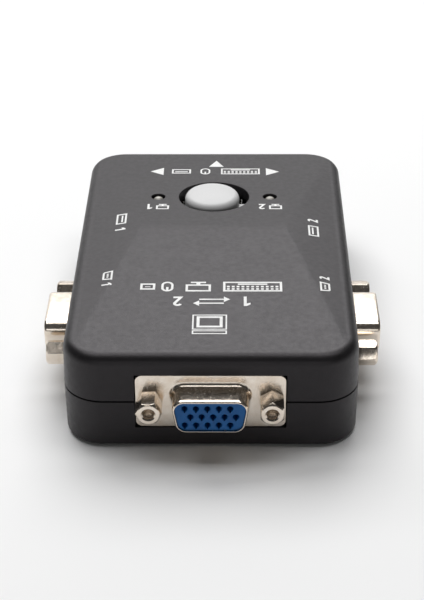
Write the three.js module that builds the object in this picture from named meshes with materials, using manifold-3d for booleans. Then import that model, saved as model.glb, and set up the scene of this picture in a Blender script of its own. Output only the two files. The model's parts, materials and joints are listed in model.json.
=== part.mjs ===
// Two-computer KVM switch: a flat moulded box that lets two computers share one screen, keyboard and mouse.
// One VGA socket for the screen is at the front, a VGA and a USB-B socket for each computer are on the two
// sides, three USB-A console sockets are at the rear, and a sprung select button with two lamps is on top.
//
// Millimetres. +X is right, +Y runs from the screen socket to the console sockets, +Z is up. The origin is on
// the surface that the box stands on, under the middle of its overall length and width.

import * as THREE from "three";
import { mergeVertices } from "three/addons/utils/BufferGeometryUtils.js";
import Module from "manifold-3d";

const wasm = await Module();
wasm.setup();

// ---------------------------------------------------------------- driving dimensions

const BODY = { width: 61, length: 95.2, height: 21.5, corner: 8.5, edge: 2.4, draft: 0.15, wall: 2 };
const FOOT = { radius: 4, proud: 0.6, thick: 1.4, x: 22, yFront: -27, yRear: 35 };
const SEAM = 0.24; // open line between the two covers
const ROOF = { rise: 2, halfRidge: 16.5, fromFront: 51.8, thick: 1.9 }; // the four shallow facets of the top
const LIP = { inset: 1.15, height: 1.4, play: 0.2 };
const CLEAR = 0.3; // around a socket in its window
const FLOOR = { thick: 1.8, edge: 0.5 };
const GUIDE = { depth: 1.6, bore: 9.5, boss: 10.4, lampBore: 2.1, lampBoss: 2.8 }; // rings under the top
const RESTS = { x: 11, front: [-29, 3, 8], rear: [33, 3, 3] }; // under the board: Y, width, depth

const VGA = {
  flangeWidth: 30.8, flangeHeight: 12.5, flangeThick: 0.8, flangeCorner: 1.5, recess: 0.3,
  shellWidth: 16.33, shellHeight: 7.9, shellCorner: 2.4, slant: 10, shellLength: 6, wall: 0.45,
  screwSpacing: 25, pitch: 2.29, rowPitch: 1.98, centre: 6.35,
};
const JACK = { acrossFlats: 4.75, length: 5, bore: 1.42, stud: 1.35, studLength: 6 };
const USB_A = { width: 13.1, height: 5.7, depth: 14, wall: 0.3, centre: 3.6, pitch: 14.6 };
const USB_B = { width: 12, height: 10.9, depth: 16, wall: 0.35, centre: 5.55 };
const BOARD = { thick: 1.6, underGap: 1, play: 0.5, postRadius: 2.6, pilot: 0.95, screwHole: 1.2, screwX: 21.5 };
const BUTTON = { radius: 6.38, hole: 8.2, offsetX: -0.45, rimZ: 23.45, crown: 0.6, edge: 0.7, skirt: 4.1 };
const LAMP = { radius: 1.42, hole: 1.62, x: 13.1, topZ: 23.25, length: 5.35 };

// Derived levels and faces.
const BASE_Z = FOOT.proud;
const PART_Z = BASE_Z + BODY.height / 2;
const TOP_Z = BASE_Z + BODY.height; // the rim, where the facets start
const FLOOR_Z = BASE_Z + FLOOR.thick;
const PAD_Z = 20.7; // the flat seats inside the top, round the button and the lamps
const BOARD_Z = FLOOR_Z + BOARD.underGap + BOARD.thick; // the board's top face
const VGA_Z = BOARD_Z + VGA.centre;
const PROUD = VGA.shellLength - VGA.recess; // how far a VGA shell stands out of its wall
const BODY_Y = PROUD / 2; // the box is set back, so that the origin is the middle of the overall length
const FRONT_Y = BODY_Y - BODY.length / 2;
const REAR_Y = BODY_Y + BODY.length / 2;
const SIDE_X = BODY.width / 2;
const RIDGE_Y = FRONT_Y + ROOF.fromFront;
const RIM_INSET = BODY.draft + BODY.edge;
const RIM_X = SIDE_X - RIM_INSET;
const RIM_FRONT_Y = FRONT_Y + RIM_INSET;
const RIM_REAR_Y = REAR_Y - RIM_INSET;
const SIDE_VGA_Y = FRONT_Y + 31.3;
const SIDE_USB_Y = FRONT_Y + 55.3;
const BUTTON_Y = FRONT_Y + 67.8;
const COLUMN = {
  x: 25.5, inset: 6.8, radius: 3.7, bore: 1.6, counterbore: 2.7, seatZ: 7.5, boss: 3.3, pilot: 1.25,
};
const COLUMN_SPOTS = [-1, 1].flatMap((sx) =>
  [FRONT_Y + COLUMN.inset, REAR_Y - COLUMN.inset].map((y) => [sx * COLUMN.x, y]),
);
const FOOT_SPOTS = [-1, 1].flatMap((sx) => [FOOT.yFront, FOOT.yRear].map((y) => [sx * FOOT.x, y]));
const BOARD_SCREWS = [-1, 1].map((sx) => [sx * BOARD.screwX, BUTTON_Y]);

// ---------------------------------------------------------------- materials

const material = (color, roughness, metalness = 0) =>
  new THREE.MeshStandardMaterial({ color, roughness, metalness });
const BLACK_PLASTIC = material(0x2a292b, 0.5);
const NICKEL = material(0xc9c2b6, 0.25, 1);
const BLUE_PLASTIC = material(0x1f5fa8, 0.45);
const WHITE_PLASTIC = material(0xe9e6de, 0.45);
const SILVER_PAINT = material(0xdedede, 0.3, 0.4);
const RUBBER = material(0x151515, 0.85);
const BOARD_GREEN = material(0x1c5a33, 0.4);
const CHIP_BLACK = material(0x161616, 0.55);
const GOLD = material(0xc8a350, 0.3, 1);
const STEEL = material(0x8f8d88, 0.35, 1);
const LAMP_PLASTIC = material(0xb9b7b0, 0.2);

// ---------------------------------------------------------------- geometry helpers

// A closed three.js geometry as a manifold-3d solid.
function solid(geometry) {
  const bare = geometry.index ? geometry.toNonIndexed() : geometry.clone();
  bare.deleteAttribute("normal");
  bare.deleteAttribute("uv");
  const merged = mergeVertices(bare, 1e-4);
  return new wasm.Manifold(
    new wasm.Mesh({
      numProp: 3,
      vertProperties: merged.attributes.position.array,
      triVerts: new Uint32Array(merged.index.array),
    }),
  );
}

// A solid back as a geometry.
function geometryOf(made) {
  const { vertProperties, triVerts } = made.getMesh();
  const geometry = new THREE.BufferGeometry();
  geometry.setAttribute("position", new THREE.BufferAttribute(new Float32Array(vertProperties), 3));
  geometry.setIndex(new THREE.BufferAttribute(new Uint32Array(triVerts), 1));
  geometry.computeVertexNormals();
  return geometry;
}

const joinAll = (solids) => solids.reduce((sum, next) => sum.add(next));
const cutAll = (whole, cutters) => cutters.reduce((rest, next) => rest.subtract(next), whole);

// A box between two corners.
function box(x0, x1, y0, y1, z0, z1) {
  const geometry = new THREE.BoxGeometry(x1 - x0, y1 - y0, z1 - z0);
  return solid(geometry.translate((x0 + x1) / 2, (y0 + y1) / 2, (z0 + z1) / 2));
}

// A box centred on x and y, standing on z0.
const post = (x, y, width, depth, z0, z1) =>
  box(x - width / 2, x + width / 2, y - depth / 2, y + depth / 2, z0, z1);

// An upright cylinder.
function rod(x, y, radius, z0, z1, sides = 16) {
  const geometry = new THREE.CylinderGeometry(radius, radius, z1 - z0, sides);
  return solid(geometry.rotateX(Math.PI / 2).translate(x, y, (z0 + z1) / 2));
}

// A cylinder along Y.
function rodY(x, z, radius, y0, y1, sides = 12) {
  const geometry = new THREE.CylinderGeometry(radius, radius, y1 - y0, sides);
  return solid(geometry.translate(x, (y0 + y1) / 2, z));
}

// A solid of revolution about the upright axis through (x, y), from [radius, z] points that run upwards outside.
function turned(x, y, profile, sides = 32) {
  const geometry = new THREE.LatheGeometry(profile.map(([r, z]) => new THREE.Vector2(r, z)), sides);
  return solid(geometry.rotateX(Math.PI / 2).translate(x, y, 0));
}

function roundedRectangle(halfX, halfY, radius, x = 0, y = 0) {
  const shape = new THREE.Shape();
  shape.absarc(x + halfX - radius, y + halfY - radius, radius, 0, Math.PI / 2);
  shape.absarc(x - halfX + radius, y + halfY - radius, radius, Math.PI / 2, Math.PI);
  shape.absarc(x - halfX + radius, y - halfY + radius, radius, Math.PI, 1.5 * Math.PI);
  shape.absarc(x + halfX - radius, y - halfY + radius, radius, 1.5 * Math.PI, 2 * Math.PI);
  return shape;
}

// A flat shape pushed up from z0 to z1.
function slab(shape, z0, z1, curveSegments = 4) {
  const geometry = new THREE.ExtrudeGeometry(shape, { depth: z1 - z0, bevelEnabled: false, curveSegments });
  return solid(geometry.translate(0, 0, z0));
}

// A shape drawn in X and Z, pushed along Y from y0 to y1.
function slabY(shape, y0, y1, curveSegments = 3) {
  const geometry = new THREE.ExtrudeGeometry(shape, { depth: y1 - y0, bevelEnabled: false, curveSegments });
  return solid(geometry.rotateX(Math.PI / 2).translate(0, y1, 0));
}

// A closed solid through a list of rings with equal numbers of points, capped by fans at both ends.
function loft(rings) {
  const count = rings[0].length;
  const points = rings.flat();
  const index = [];
  for (let r = 0; r + 1 < rings.length; r++)
    for (let i = 0; i < count; i++) {
      const a = r * count + i;
      const b = r * count + ((i + 1) % count);
      index.push(a, b, b + count, a, b + count, a + count);
    }
  const last = (rings.length - 1) * count;
  for (let i = 1; i + 1 < count; i++) {
    index.push(0, i + 1, i);
    index.push(last, last + i, last + i + 1);
  }
  const geometry = new THREE.BufferGeometry().setFromPoints(points);
  geometry.setIndex(index);
  return solid(geometry);
}

// ---------------------------------------------------------------- the box's outline

const OUTLINE_STEPS = 7; // per corner

// The box's outline, drawn in by inset, at height z.
function outlineRing(inset, z) {
  const radius = BODY.corner - inset;
  const cx = BODY.width / 2 - BODY.corner;
  const cy = BODY.length / 2 - BODY.corner;
  const corners = [[cx, cy], [-cx, cy], [-cx, -cy], [cx, -cy]];
  return corners.flatMap(([x, y], quarter) =>
    Array.from({ length: OUTLINE_STEPS + 1 }, (_, i) => {
      const angle = ((quarter + i / OUTLINE_STEPS) * Math.PI) / 2;
      return new THREE.Vector3(x + radius * Math.cos(angle), BODY_Y + y + radius * Math.sin(angle), z);
    }),
  );
}

const outlineSlab = (inset, z0, z1) => loft([outlineRing(inset, z0), outlineRing(inset, z1)]);

// The windows that the sockets look out of, cut through walls of both covers.
function windows() {
  const through = BODY.wall + 1;
  const vgaHalf = VGA.flangeWidth / 2 + CLEAR;
  const vgaLow = VGA_Z - VGA.flangeHeight / 2 - CLEAR;
  const vgaHigh = VGA_Z + VGA.flangeHeight / 2 + CLEAR;
  const cuts = [box(-vgaHalf, vgaHalf, FRONT_Y - 1, FRONT_Y + through, vgaLow, vgaHigh)];
  const usbHalf = USB_B.width / 2 + CLEAR;
  const usbLow = BOARD_Z + USB_B.centre - USB_B.height / 2 - CLEAR;
  const usbHigh = BOARD_Z + USB_B.centre + USB_B.height / 2 + CLEAR;
  for (const [x0, x1] of [[-SIDE_X - 1, -SIDE_X + through], [SIDE_X - through, SIDE_X + 1]]) {
    cuts.push(box(x0, x1, SIDE_VGA_Y - vgaHalf, SIDE_VGA_Y + vgaHalf, vgaLow, vgaHigh));
    cuts.push(box(x0, x1, SIDE_USB_Y - usbHalf, SIDE_USB_Y + usbHalf, usbLow, usbHigh));
  }
  const low = BOARD_Z + USB_A.centre - USB_A.height / 2 - CLEAR;
  const high = BOARD_Z + USB_A.centre + USB_A.height / 2 + CLEAR;
  const half = USB_A.width / 2 + CLEAR;
  for (const x of [-USB_A.pitch, 0, USB_A.pitch])
    cuts.push(box(x - half, x + half, REAR_Y - through, REAR_Y + 1, low, high));
  return cuts;
}

// The height of the top above the rim: the lowest of four planes that rise to a short ridge.
function roofLift(x, y) {
  const side = (RIM_X - Math.abs(x)) / (RIM_X - ROOF.halfRidge);
  const front = (y - RIM_FRONT_Y) / (RIDGE_Y - RIM_FRONT_Y);
  const rear = (RIM_REAR_Y - y) / (RIM_REAR_Y - RIDGE_Y);
  return ROOF.rise * Math.max(0, Math.min(side, front, rear));
}

// Everything under the four planes, lowered by drop.
function underRoof(drop) {
  const falls = TOP_Z / ROOF.rise + 1; // how many times their rise the planes come down
  const x = ROOF.halfRidge + (RIM_X - ROOF.halfRidge) * falls;
  const y0 = RIDGE_Y + (RIM_FRONT_Y - RIDGE_Y) * falls;
  const y1 = RIDGE_Y + (RIM_REAR_Y - RIDGE_Y) * falls;
  const ridgeZ = TOP_Z + ROOF.rise - drop;
  const baseZ = ridgeZ - ROOF.rise * falls;
  const points = [
    [-ROOF.halfRidge, RIDGE_Y, ridgeZ], [ROOF.halfRidge, RIDGE_Y, ridgeZ],
    [-x, y0, baseZ], [x, y0, baseZ], [x, y1, baseZ], [-x, y1, baseZ],
  ];
  const faces = [[0, 2, 3], [0, 3, 1], [1, 3, 4], [1, 4, 5], [1, 5, 0], [0, 5, 2], [2, 5, 4], [2, 4, 3]];
  const geometry = new THREE.BufferGeometry().setFromPoints(points.map((p) => new THREE.Vector3(...p)));
  geometry.setIndex(faces.flat());
  return solid(geometry);
}

// ---------------------------------------------------------------- covers, feet and screws

function topCover() {
  const edgeSteps = 4;
  const lifts = outlineRing(RIM_INSET, 0).map(({ x, y }) => roofLift(x, y));
  const rings = [outlineRing(0, PART_Z + SEAM / 2)];
  for (let i = 0; i <= edgeSteps; i++) {
    const rise = Math.sin((i / edgeSteps) * (Math.PI / 2));
    const inset = RIM_INSET - BODY.edge * Math.cos((i / edgeSteps) * (Math.PI / 2));
    const ring = outlineRing(inset, TOP_Z - BODY.edge * (1 - rise));
    rings.push(ring.map((point, k) => point.setZ(point.z + rise * lifts[k])));
  }
  rings.push(outlineRing(RIM_INSET, TOP_Z + ROOF.rise + 1));
  const outside = loft(rings).intersect(underRoof(0));
  const room = outlineSlab(BODY.wall, PART_Z - 1, TOP_Z + 1).intersect(underRoof(ROOF.thick));
  const guideZ = PAD_Z - GUIDE.depth;
  const bossTopZ = TOP_Z - 0.5;
  const inside = [
    ...COLUMN_SPOTS.map(([x, y]) => rod(x, y, COLUMN.boss, PART_Z, bossTopZ)),
    ...[-1, 1].map((sx) => rod(sx * LAMP.x, BUTTON_Y, GUIDE.lampBoss, guideZ, bossTopZ)),
    rod(0, BUTTON_Y, GUIDE.boss, guideZ, bossTopZ, 24),
  ];
  return cutAll(joinAll([outside.subtract(room), ...inside]), [
    outlineSlab(LIP.inset - LIP.play, PART_Z - 1, PART_Z + LIP.height + 1.5 * LIP.play),
    ...COLUMN_SPOTS.map(([x, y]) => rod(x, y, COLUMN.pilot, PART_Z - 1, PAD_Z - 1.4, 10)),
    ...[-1, 1].map((sx) => rod(sx * LAMP.x, BUTTON_Y, GUIDE.lampBore, guideZ - 1, PAD_Z)),
    ...[-1, 1].map((sx) => rod(sx * LAMP.x, BUTTON_Y, LAMP.hole, guideZ, TOP_Z + ROOF.rise)),
    rod(0, BUTTON_Y, GUIDE.bore, guideZ - 1, PAD_Z, 24),
    rod(0, BUTTON_Y, BUTTON.hole, guideZ, TOP_Z + ROOF.rise, 36),
    ...windows(),
  ]);
}

function bottomCase() {
  const { edge } = FLOOR;
  const outside = loft([
    outlineRing(BODY.draft + edge, BASE_Z),
    outlineRing(BODY.draft + 0.3 * edge, BASE_Z + 0.3 * edge),
    outlineRing(BODY.draft, BASE_Z + edge),
    outlineRing(0, PART_Z - SEAM / 2),
  ]);
  const lip = outlineSlab(LIP.inset, PART_Z - 1, PART_Z + LIP.height);
  const shell = outside.add(lip).subtract(outlineSlab(BODY.wall, FLOOR_Z, PART_Z + 3));
  const postZ = FLOOR_Z + BOARD.underGap;
  const inside = [
    ...COLUMN_SPOTS.map(([x, y]) => rod(x, y, COLUMN.radius, BASE_Z + 0.6, PART_Z + LIP.height)),
    ...BOARD_SCREWS.map(([x, y]) => rod(x, y, BOARD.postRadius, FLOOR_Z - 0.5, postZ)),
    ...[RESTS.front, RESTS.rear].flatMap(([y, width, depth]) =>
      [-1, 1].map((sx) => post(sx * RESTS.x, y, width, depth, FLOOR_Z - 0.5, postZ))),
  ];
  // The screw columns stay inside the lip's outer face, so that they don't reach the top cover's wall.
  const kept = joinAll([shell, ...inside.map((piece) => piece.intersect(outlineSlab(LIP.inset, 0, TOP_Z)))]);
  return cutAll(kept, [
    ...COLUMN_SPOTS.map(([x, y]) => rod(x, y, COLUMN.bore, BASE_Z, TOP_Z, 12)),
    ...COLUMN_SPOTS.map(([x, y]) => rod(x, y, COLUMN.counterbore, BASE_Z - 1, COLUMN.seatZ)),
    ...FOOT_SPOTS.map(([x, y]) => rod(x, y, FOOT.radius + 0.2, BASE_Z - 1, FOOT.thick, 20)),
    ...BOARD_SCREWS.map(([x, y]) => rod(x, y, BOARD.pilot, FLOOR_Z - 1.1, TOP_Z, 12)),
    ...windows(),
  ]);
}

function foot([x, y]) {
  const { radius, thick } = FOOT;
  const edge = 0.4;
  return turned(x, y, [[0, 0], [radius - edge, 0], [radius, edge], [radius, thick], [0, thick]], 20);
}

// The crossed slots of a Phillips screw, cut into a head between two levels.
const SLOT = 0.6;
const crossSlots = (x, y, width, z0, z1) => [post(x, y, width, SLOT, z0, z1), post(x, y, SLOT, width, z0, z1)];

// A case screw goes up from its counterbore, with its head below.
function caseScrew([x, y]) {
  const seat = COLUMN.seatZ;
  const body = turned(x, y, [
    [0, seat - 2], [1.5, seat - 2], [2.2, seat - 1.5], [2.4, seat - 0.8], [2.4, seat],
    [1.1, seat], [1.1, seat + 9], [0.4, seat + 10], [0, seat + 10],
  ], 12);
  return cutAll(body, crossSlots(x, y, 2.8, seat - 2.5, seat - 0.9));
}

// A board screw goes down through the board into a post of the bottom case.
function boardScrew([x, y]) {
  const tipZ = FLOOR_Z - 0.9;
  const topZ = BOARD_Z + 1.5;
  const body = turned(x, y, [
    [0, tipZ], [0.8, tipZ + 0.4], [0.8, BOARD_Z], [2.1, BOARD_Z], [2.1, BOARD_Z + 0.8], [1.3, topZ], [0, topZ],
  ], 12);
  return cutAll(body, crossSlots(x, y, 2.4, BOARD_Z + 0.6, BOARD_Z + 2));
}

// ---------------------------------------------------------------- circuit board and what stands on it

function circuitBoard() {
  const inset = BODY.wall + BOARD.play;
  const plate = outlineSlab(inset, BOARD_Z - BOARD.thick, BOARD_Z);
  return cutAll(plate, [
    ...COLUMN_SPOTS.map(([x, y]) => rod(x, y, COLUMN.radius + 0.4, 0, TOP_Z)),
    ...BOARD_SCREWS.map(([x, y]) => rod(x, y, BOARD.screwHole, 0, TOP_Z, 12)),
  ]);
}

// A surface-mounted chip with gull-wing leads on its two long sides.
function chip(x, y, width, depth, leads) {
  const pitch = 1.27;
  const wing = new THREE.Shape(
    [[-0.3, 0.85], [-0.3, 0.6], [0.5, 0.6], [0.7, 0], [1.4, 0], [1.4, 0.25], [0.95, 0.25], [0.75, 0.85]].map(
      ([out, up]) => new THREE.Vector2(out, up)),
  );
  const lead = slabY(wing, -0.22, 0.22).rotate([0, 0, 90]).translate([0, depth / 2, BOARD_Z]);
  const parts = [box(-width / 2, width / 2, -depth / 2, depth / 2, BOARD_Z + 0.15, BOARD_Z + 1.75)];
  for (let i = 0; i < leads; i++) {
    const oneSide = lead.translate([(i - (leads - 1) / 2) * pitch, 0, 0]);
    parts.push(oneSide, oneSide.rotate([0, 0, 180]));
  }
  return joinAll(parts).translate([x, y, 0]);
}

const capacitor = (x, y) =>
  turned(x, y, [[0, BOARD_Z], [2.4, BOARD_Z], [2.5, BOARD_Z + 1], [2.3, BOARD_Z + 1.3], [2.5, BOARD_Z + 1.6],
    [2.5, BOARD_Z + 6.6], [2.2, BOARD_Z + 7], [0, BOARD_Z + 7]], 16);

const crystal = (x, y) =>
  slab(roundedRectangle(5.6, 2.3, 2.2, x, y), BOARD_Z, BOARD_Z + 0.5).add(
    slab(roundedRectangle(5.1, 1.85, 1.8, x, y), BOARD_Z, BOARD_Z + 3.6),
  );

// ---------------------------------------------------------------- lamps

const LAMP_FOOT_Z = LAMP.topZ - LAMP.length;

function lampLens(x) {
  const dome = LAMP.topZ - LAMP.radius;
  const flange = 1.9;
  const flangeZ = LAMP_FOOT_Z + 0.9;
  const profile = [[0, LAMP_FOOT_Z], [flange, LAMP_FOOT_Z], [flange, flangeZ], [LAMP.radius, flangeZ]];
  for (let i = 0; i <= 3; i++) {
    const angle = (i / 3) * (Math.PI / 2);
    profile.push([i === 3 ? 0 : LAMP.radius * Math.cos(angle), dome + LAMP.radius * Math.sin(angle)]);
  }
  return turned(x, BUTTON_Y, profile, 16);
}

const lampSpacer = (x) =>
  rod(x, BUTTON_Y, 2.1, BOARD_Z, LAMP_FOOT_Z).subtract(rod(x, BUTTON_Y, 1.2, 0, TOP_Z, 8));

// ---------------------------------------------------------------- select button and its switch

const SWITCH = {
  size: 8.5, topZ: 12.6, floorZ: 6, roof: 1.2, stem: 3.3, stemTopZ: 18.75, flangeZ: 10,
  springRadius: 1.75, wire: 0.2, turns: 3,
};

function buttonCap() {
  const { radius, rimZ, edge, crown, skirt } = BUTTON;
  const x = BUTTON.offsetX;
  const slope = THREE.MathUtils.degToRad(15); // of the crown where it meets the rounded edge
  const outer = [[radius, rimZ - skirt], [radius, rimZ]];
  for (let i = 1; i <= 3; i++) {
    const angle = (i / 3) * (Math.PI / 2 - slope);
    outer.push([radius - edge * (1 - Math.cos(angle)), rimZ + edge * Math.sin(angle)]);
  }
  const [crownRadius, crownZ] = outer[outer.length - 1];
  const topZ = crownZ + crown;
  for (const share of [0.6, 0]) outer.push([crownRadius * share, topZ - crown * share * share]);
  const stemZ = rimZ - 6.7;
  const profile = [
    [0, stemZ], [3, stemZ], [3, rimZ - 0.6], [radius - 1.4, rimZ - 0.9], [radius - 1.4, rimZ - skirt], ...outer,
  ];
  const lugs = [5, 125, 245].map((degrees) => {
    const lug = box(radius - 0.8, radius + 2.35, -0.9, 0.9, rimZ - skirt, PAD_Z - 0.1);
    return lug.rotate([0, 0, degrees]).translate([x, BUTTON_Y, 0]);
  });
  const socket = post(x, BUTTON_Y, SWITCH.stem + 0.1, SWITCH.stem + 0.1, stemZ - 1, SWITCH.stemTopZ + 0.15);
  return joinAll([turned(x, BUTTON_Y, profile, 32), ...lugs]).subtract(socket);
}

function switchHousing() {
  const { size, topZ, floorZ, roof, stem } = SWITCH;
  const x = BUTTON.offsetX;
  const inner = size - 2.2;
  return cutAll(post(x, BUTTON_Y, size, size, BOARD_Z, topZ), [
    post(x, BUTTON_Y, inner, inner, floorZ, topZ - roof),
    post(x, BUTTON_Y, stem + 0.3, stem + 0.3, floorZ, topZ + 1),
  ]);
}

function switchPlunger() {
  const { topZ, roof, stem, stemTopZ, flangeZ, size } = SWITCH;
  const x = BUTTON.offsetX;
  return post(x, BUTTON_Y, stem, stem, flangeZ, stemTopZ).add(
    post(x, BUTTON_Y, size - 2.8, size - 2.8, flangeZ, topZ - roof - 0.1),
  );
}

// The return spring: a helix of round wire between the housing's floor and the plunger's flange.
class Helix extends THREE.Curve {
  constructor(radius, turns, z0, z1) {
    super();
    Object.assign(this, { radius, turns, z0, z1 });
  }
  getPoint(t, target = new THREE.Vector3()) {
    const angle = 2 * Math.PI * this.turns * t;
    const z = THREE.MathUtils.lerp(this.z0, this.z1, t);
    return target.set(this.radius * Math.cos(angle), this.radius * Math.sin(angle), z);
  }
}

function switchSpring() {
  const { springRadius, wire, turns, floorZ, flangeZ } = SWITCH;
  const path = new Helix(springRadius, turns, floorZ + 0.35, flangeZ - 0.35);
  const section = new THREE.Shape().absarc(0, 0, wire, 0, 2 * Math.PI);
  const geometry = new THREE.ExtrudeGeometry(section, { steps: 30, extrudePath: path, curveSegments: 4 });
  return solid(geometry.translate(BUTTON.offsetX, BUTTON_Y, 0));
}

// ---------------------------------------------------------------- VGA socket
// Every socket is drawn looking out along -Y, with its mouth or flange in the plane y = 0 and its centre line on
// the Y axis, and is then turned and moved to its wall.

// The D outline of a VGA shell, drawn in by inset: wide side up, slanting sides, round corners.
function dOutline(inset, y, stepsPerCorner = 3) {
  const slant = THREE.MathUtils.degToRad(VGA.slant);
  const half = VGA.shellHeight / 2 - inset;
  const radius = VGA.shellCorner - inset;
  const sideInset = (inset - VGA.shellCorner) / Math.cos(slant);
  const midHalf = VGA.shellWidth / 2 - (VGA.shellHeight / 2) * Math.tan(slant);
  const centreX = (z) => midHalf + z * Math.tan(slant) + sideInset - inset / Math.cos(slant);
  const ring = [];
  const corners = [
    { z: half - radius, side: 1, from: -slant, to: Math.PI / 2 },
    { z: half - radius, side: -1, from: Math.PI / 2, to: Math.PI + slant },
    { z: radius - half, side: -1, from: Math.PI + slant, to: 1.5 * Math.PI },
    { z: radius - half, side: 1, from: 1.5 * Math.PI, to: 2 * Math.PI - slant },
  ];
  for (const { z, side, from, to } of corners)
    for (let i = 0; i <= stepsPerCorner; i++) {
      const angle = from + ((to - from) * i) / stepsPerCorner;
      const x = side * centreX(z) + radius * Math.cos(angle);
      ring.push(new THREE.Vector3(x, y, z + radius * Math.sin(angle)));
    }
  return ring;
}

const dSolid = (levels) => loft(levels.map(([inset, y]) => dOutline(inset, y)));

function vgaShell() {
  const { flangeWidth, flangeHeight, flangeThick, flangeCorner, shellLength, wall, screwSpacing } = VGA;
  const flange = slabY(roundedRectangle(flangeWidth / 2, flangeHeight / 2, flangeCorner), 0, flangeThick);
  // The drawn shell flares into the flange, and its rim is rounded over.
  const tube = dSolid([
    [-0.9, 0.3], [-0.9, 0], [-0.3, -0.3], [0, -1.2], [0, 0.25 - shellLength], [0.25, -shellLength],
  ]);
  const hole = dSolid([[wall, flangeThick + 1], [wall, -shellLength - 1]]);
  const screwHoles = [-1, 1].map((side) => rodY((side * screwSpacing) / 2, 0, 1.55, -1, flangeThick + 1));
  return cutAll(flange.add(tube), [hole, ...screwHoles]);
}

// Positions of the fifteen contacts: three rows of five, the middle row half a pitch along.
function vgaContactSpots() {
  return [1, 0, -1].flatMap((row) =>
    [0, 1, 2, 3, 4].map((i) => ({
      row,
      x: (i - 2) * VGA.pitch + (row === 0 ? 0.25 : -0.25) * VGA.pitch,
      z: row * VGA.rowPitch,
    })),
  );
}

const VGA_BLOCK = { half: 9.2, low: -5.9, high: 5, start: 0.85, end: 8, pocket: 0.8, faceBack: 0.4 };

function vgaInsulator() {
  const { half, low, high, start, end, pocket, faceBack } = VGA_BLOCK;
  const nose = dSolid([[VGA.wall + 0.05, start + 0.2], [VGA.wall + 0.05, faceBack - VGA.shellLength]]);
  const block = box(-half, half, start, end, low, high);
  const web = box(-6.9, 6.9, end - pocket, end + 1, -2.9, 2.9);
  const holes = vgaContactSpots().map(({ x, z }) => rodY(x, z, 0.62, -VGA.shellLength - 1, -1, 6));
  return cutAll(nose.add(block), [web, ...holes]);
}

// The fifteen contact tails bend down to the board. A thin web in the insulator's back holds them as one piece.
function vgaContacts() {
  const wire = 0.25;
  const { end, pocket } = VGA_BLOCK;
  const low = -VGA.centre;
  const web = box(-6.6, 6.6, end - pocket + 0.1, end - 0.2, -2.6, 2.6);
  const tails = vgaContactSpots().map(({ row, x, z }) => {
    const drop = end + 2.6 + row * 2;
    const corner = new THREE.Shape(
      [[end - 0.5, z - wire], [drop - wire, z - wire], [drop - wire, low], [drop + wire, low],
        [drop + wire, z + wire], [end - 0.5, z + wire]].map(([y, height]) => new THREE.Vector2(y, height)),
    );
    const geometry = new THREE.ExtrudeGeometry(corner, { depth: 2 * wire, bevelEnabled: false });
    const turn = new THREE.Matrix4().makeBasis(
      new THREE.Vector3(0, 1, 0), new THREE.Vector3(0, 0, 1), new THREE.Vector3(1, 0, 0),
    );
    return solid(geometry.applyMatrix4(turn).translate(x - wire, 0, 0));
  });
  return joinAll([web, ...tails]);
}

// The stamped bracket behind the flange, with a threaded ear and a board foot at each end.
function vgaBracket() {
  const { flangeWidth, flangeHeight, flangeThick, screwSpacing, centre } = VGA;
  const start = flangeThick + 0.05;
  const back = start + 0.5;
  const { half, low, high } = VGA_BLOCK;
  const plate = slabY(roundedRectangle(flangeWidth / 2 - 0.2, flangeHeight / 2 - 0.2, 1.3), start, back);
  const ears = [-1, 1].flatMap((side) => {
    const x = (side * screwSpacing) / 2;
    return [
      box(x - 2.6, x + 2.6, back - 0.2, back + 3.2, -2.6, 2.6),
      box(x - 2.2, x + 2.2, back - 0.2, back + 7, -centre, -centre + 0.6),
      box(x - 2.2, x + 2.2, back - 0.2, back + 0.5, -centre, -2),
    ];
  });
  return cutAll(joinAll([plate, ...ears]), [
    box(-half - 0.15, half + 0.15, start - 1, back + 1, low - 0.15, high + 0.15),
    ...[-1, 1].map((side) => rodY((side * screwSpacing) / 2, 0, JACK.stud + 0.1, start - 1, back + 5)),
  ]);
}

// A hexagonal jack screw: chamfered nose with a threaded hole, and a stud that holds the flange to its bracket.
function jackScrew(side, twist) {
  const { acrossFlats, length, bore, stud, studLength } = JACK;
  const flat = acrossFlats / 2;
  const corner = flat / Math.cos(Math.PI / 6);
  const hexagon = new THREE.Shape(
    Array.from({ length: 6 }, (_, i) => {
      const angle = THREE.MathUtils.degToRad(twist + 60 * i);
      return new THREE.Vector2(corner * Math.cos(angle), corner * Math.sin(angle));
    }),
  );
  const nose = new THREE.LatheGeometry(
    [[0, 0], [corner, 0], [corner, length - 0.7], [flat - 0.15, length], [0, length]].map(([r, h]) =>
      new THREE.Vector2(r, h)), 12);
  const prism = slabY(hexagon, -length, 0).intersect(solid(nose.rotateX(Math.PI)));
  const screw = prism.add(rodY(0, 0, stud, -0.5, studLength, 10));
  const mouth = new THREE.CylinderGeometry(bore, bore + 0.35, 0.4, 10).translate(0, 0.2 - length, 0);
  const hollow = rodY(0, 0, bore, -length - 1, -0.9, 10).add(solid(mouth));
  return screw.subtract(hollow).translate([(side * VGA.screwSpacing) / 2, 0, 0]);
}

// ---------------------------------------------------------------- USB-A socket

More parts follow.
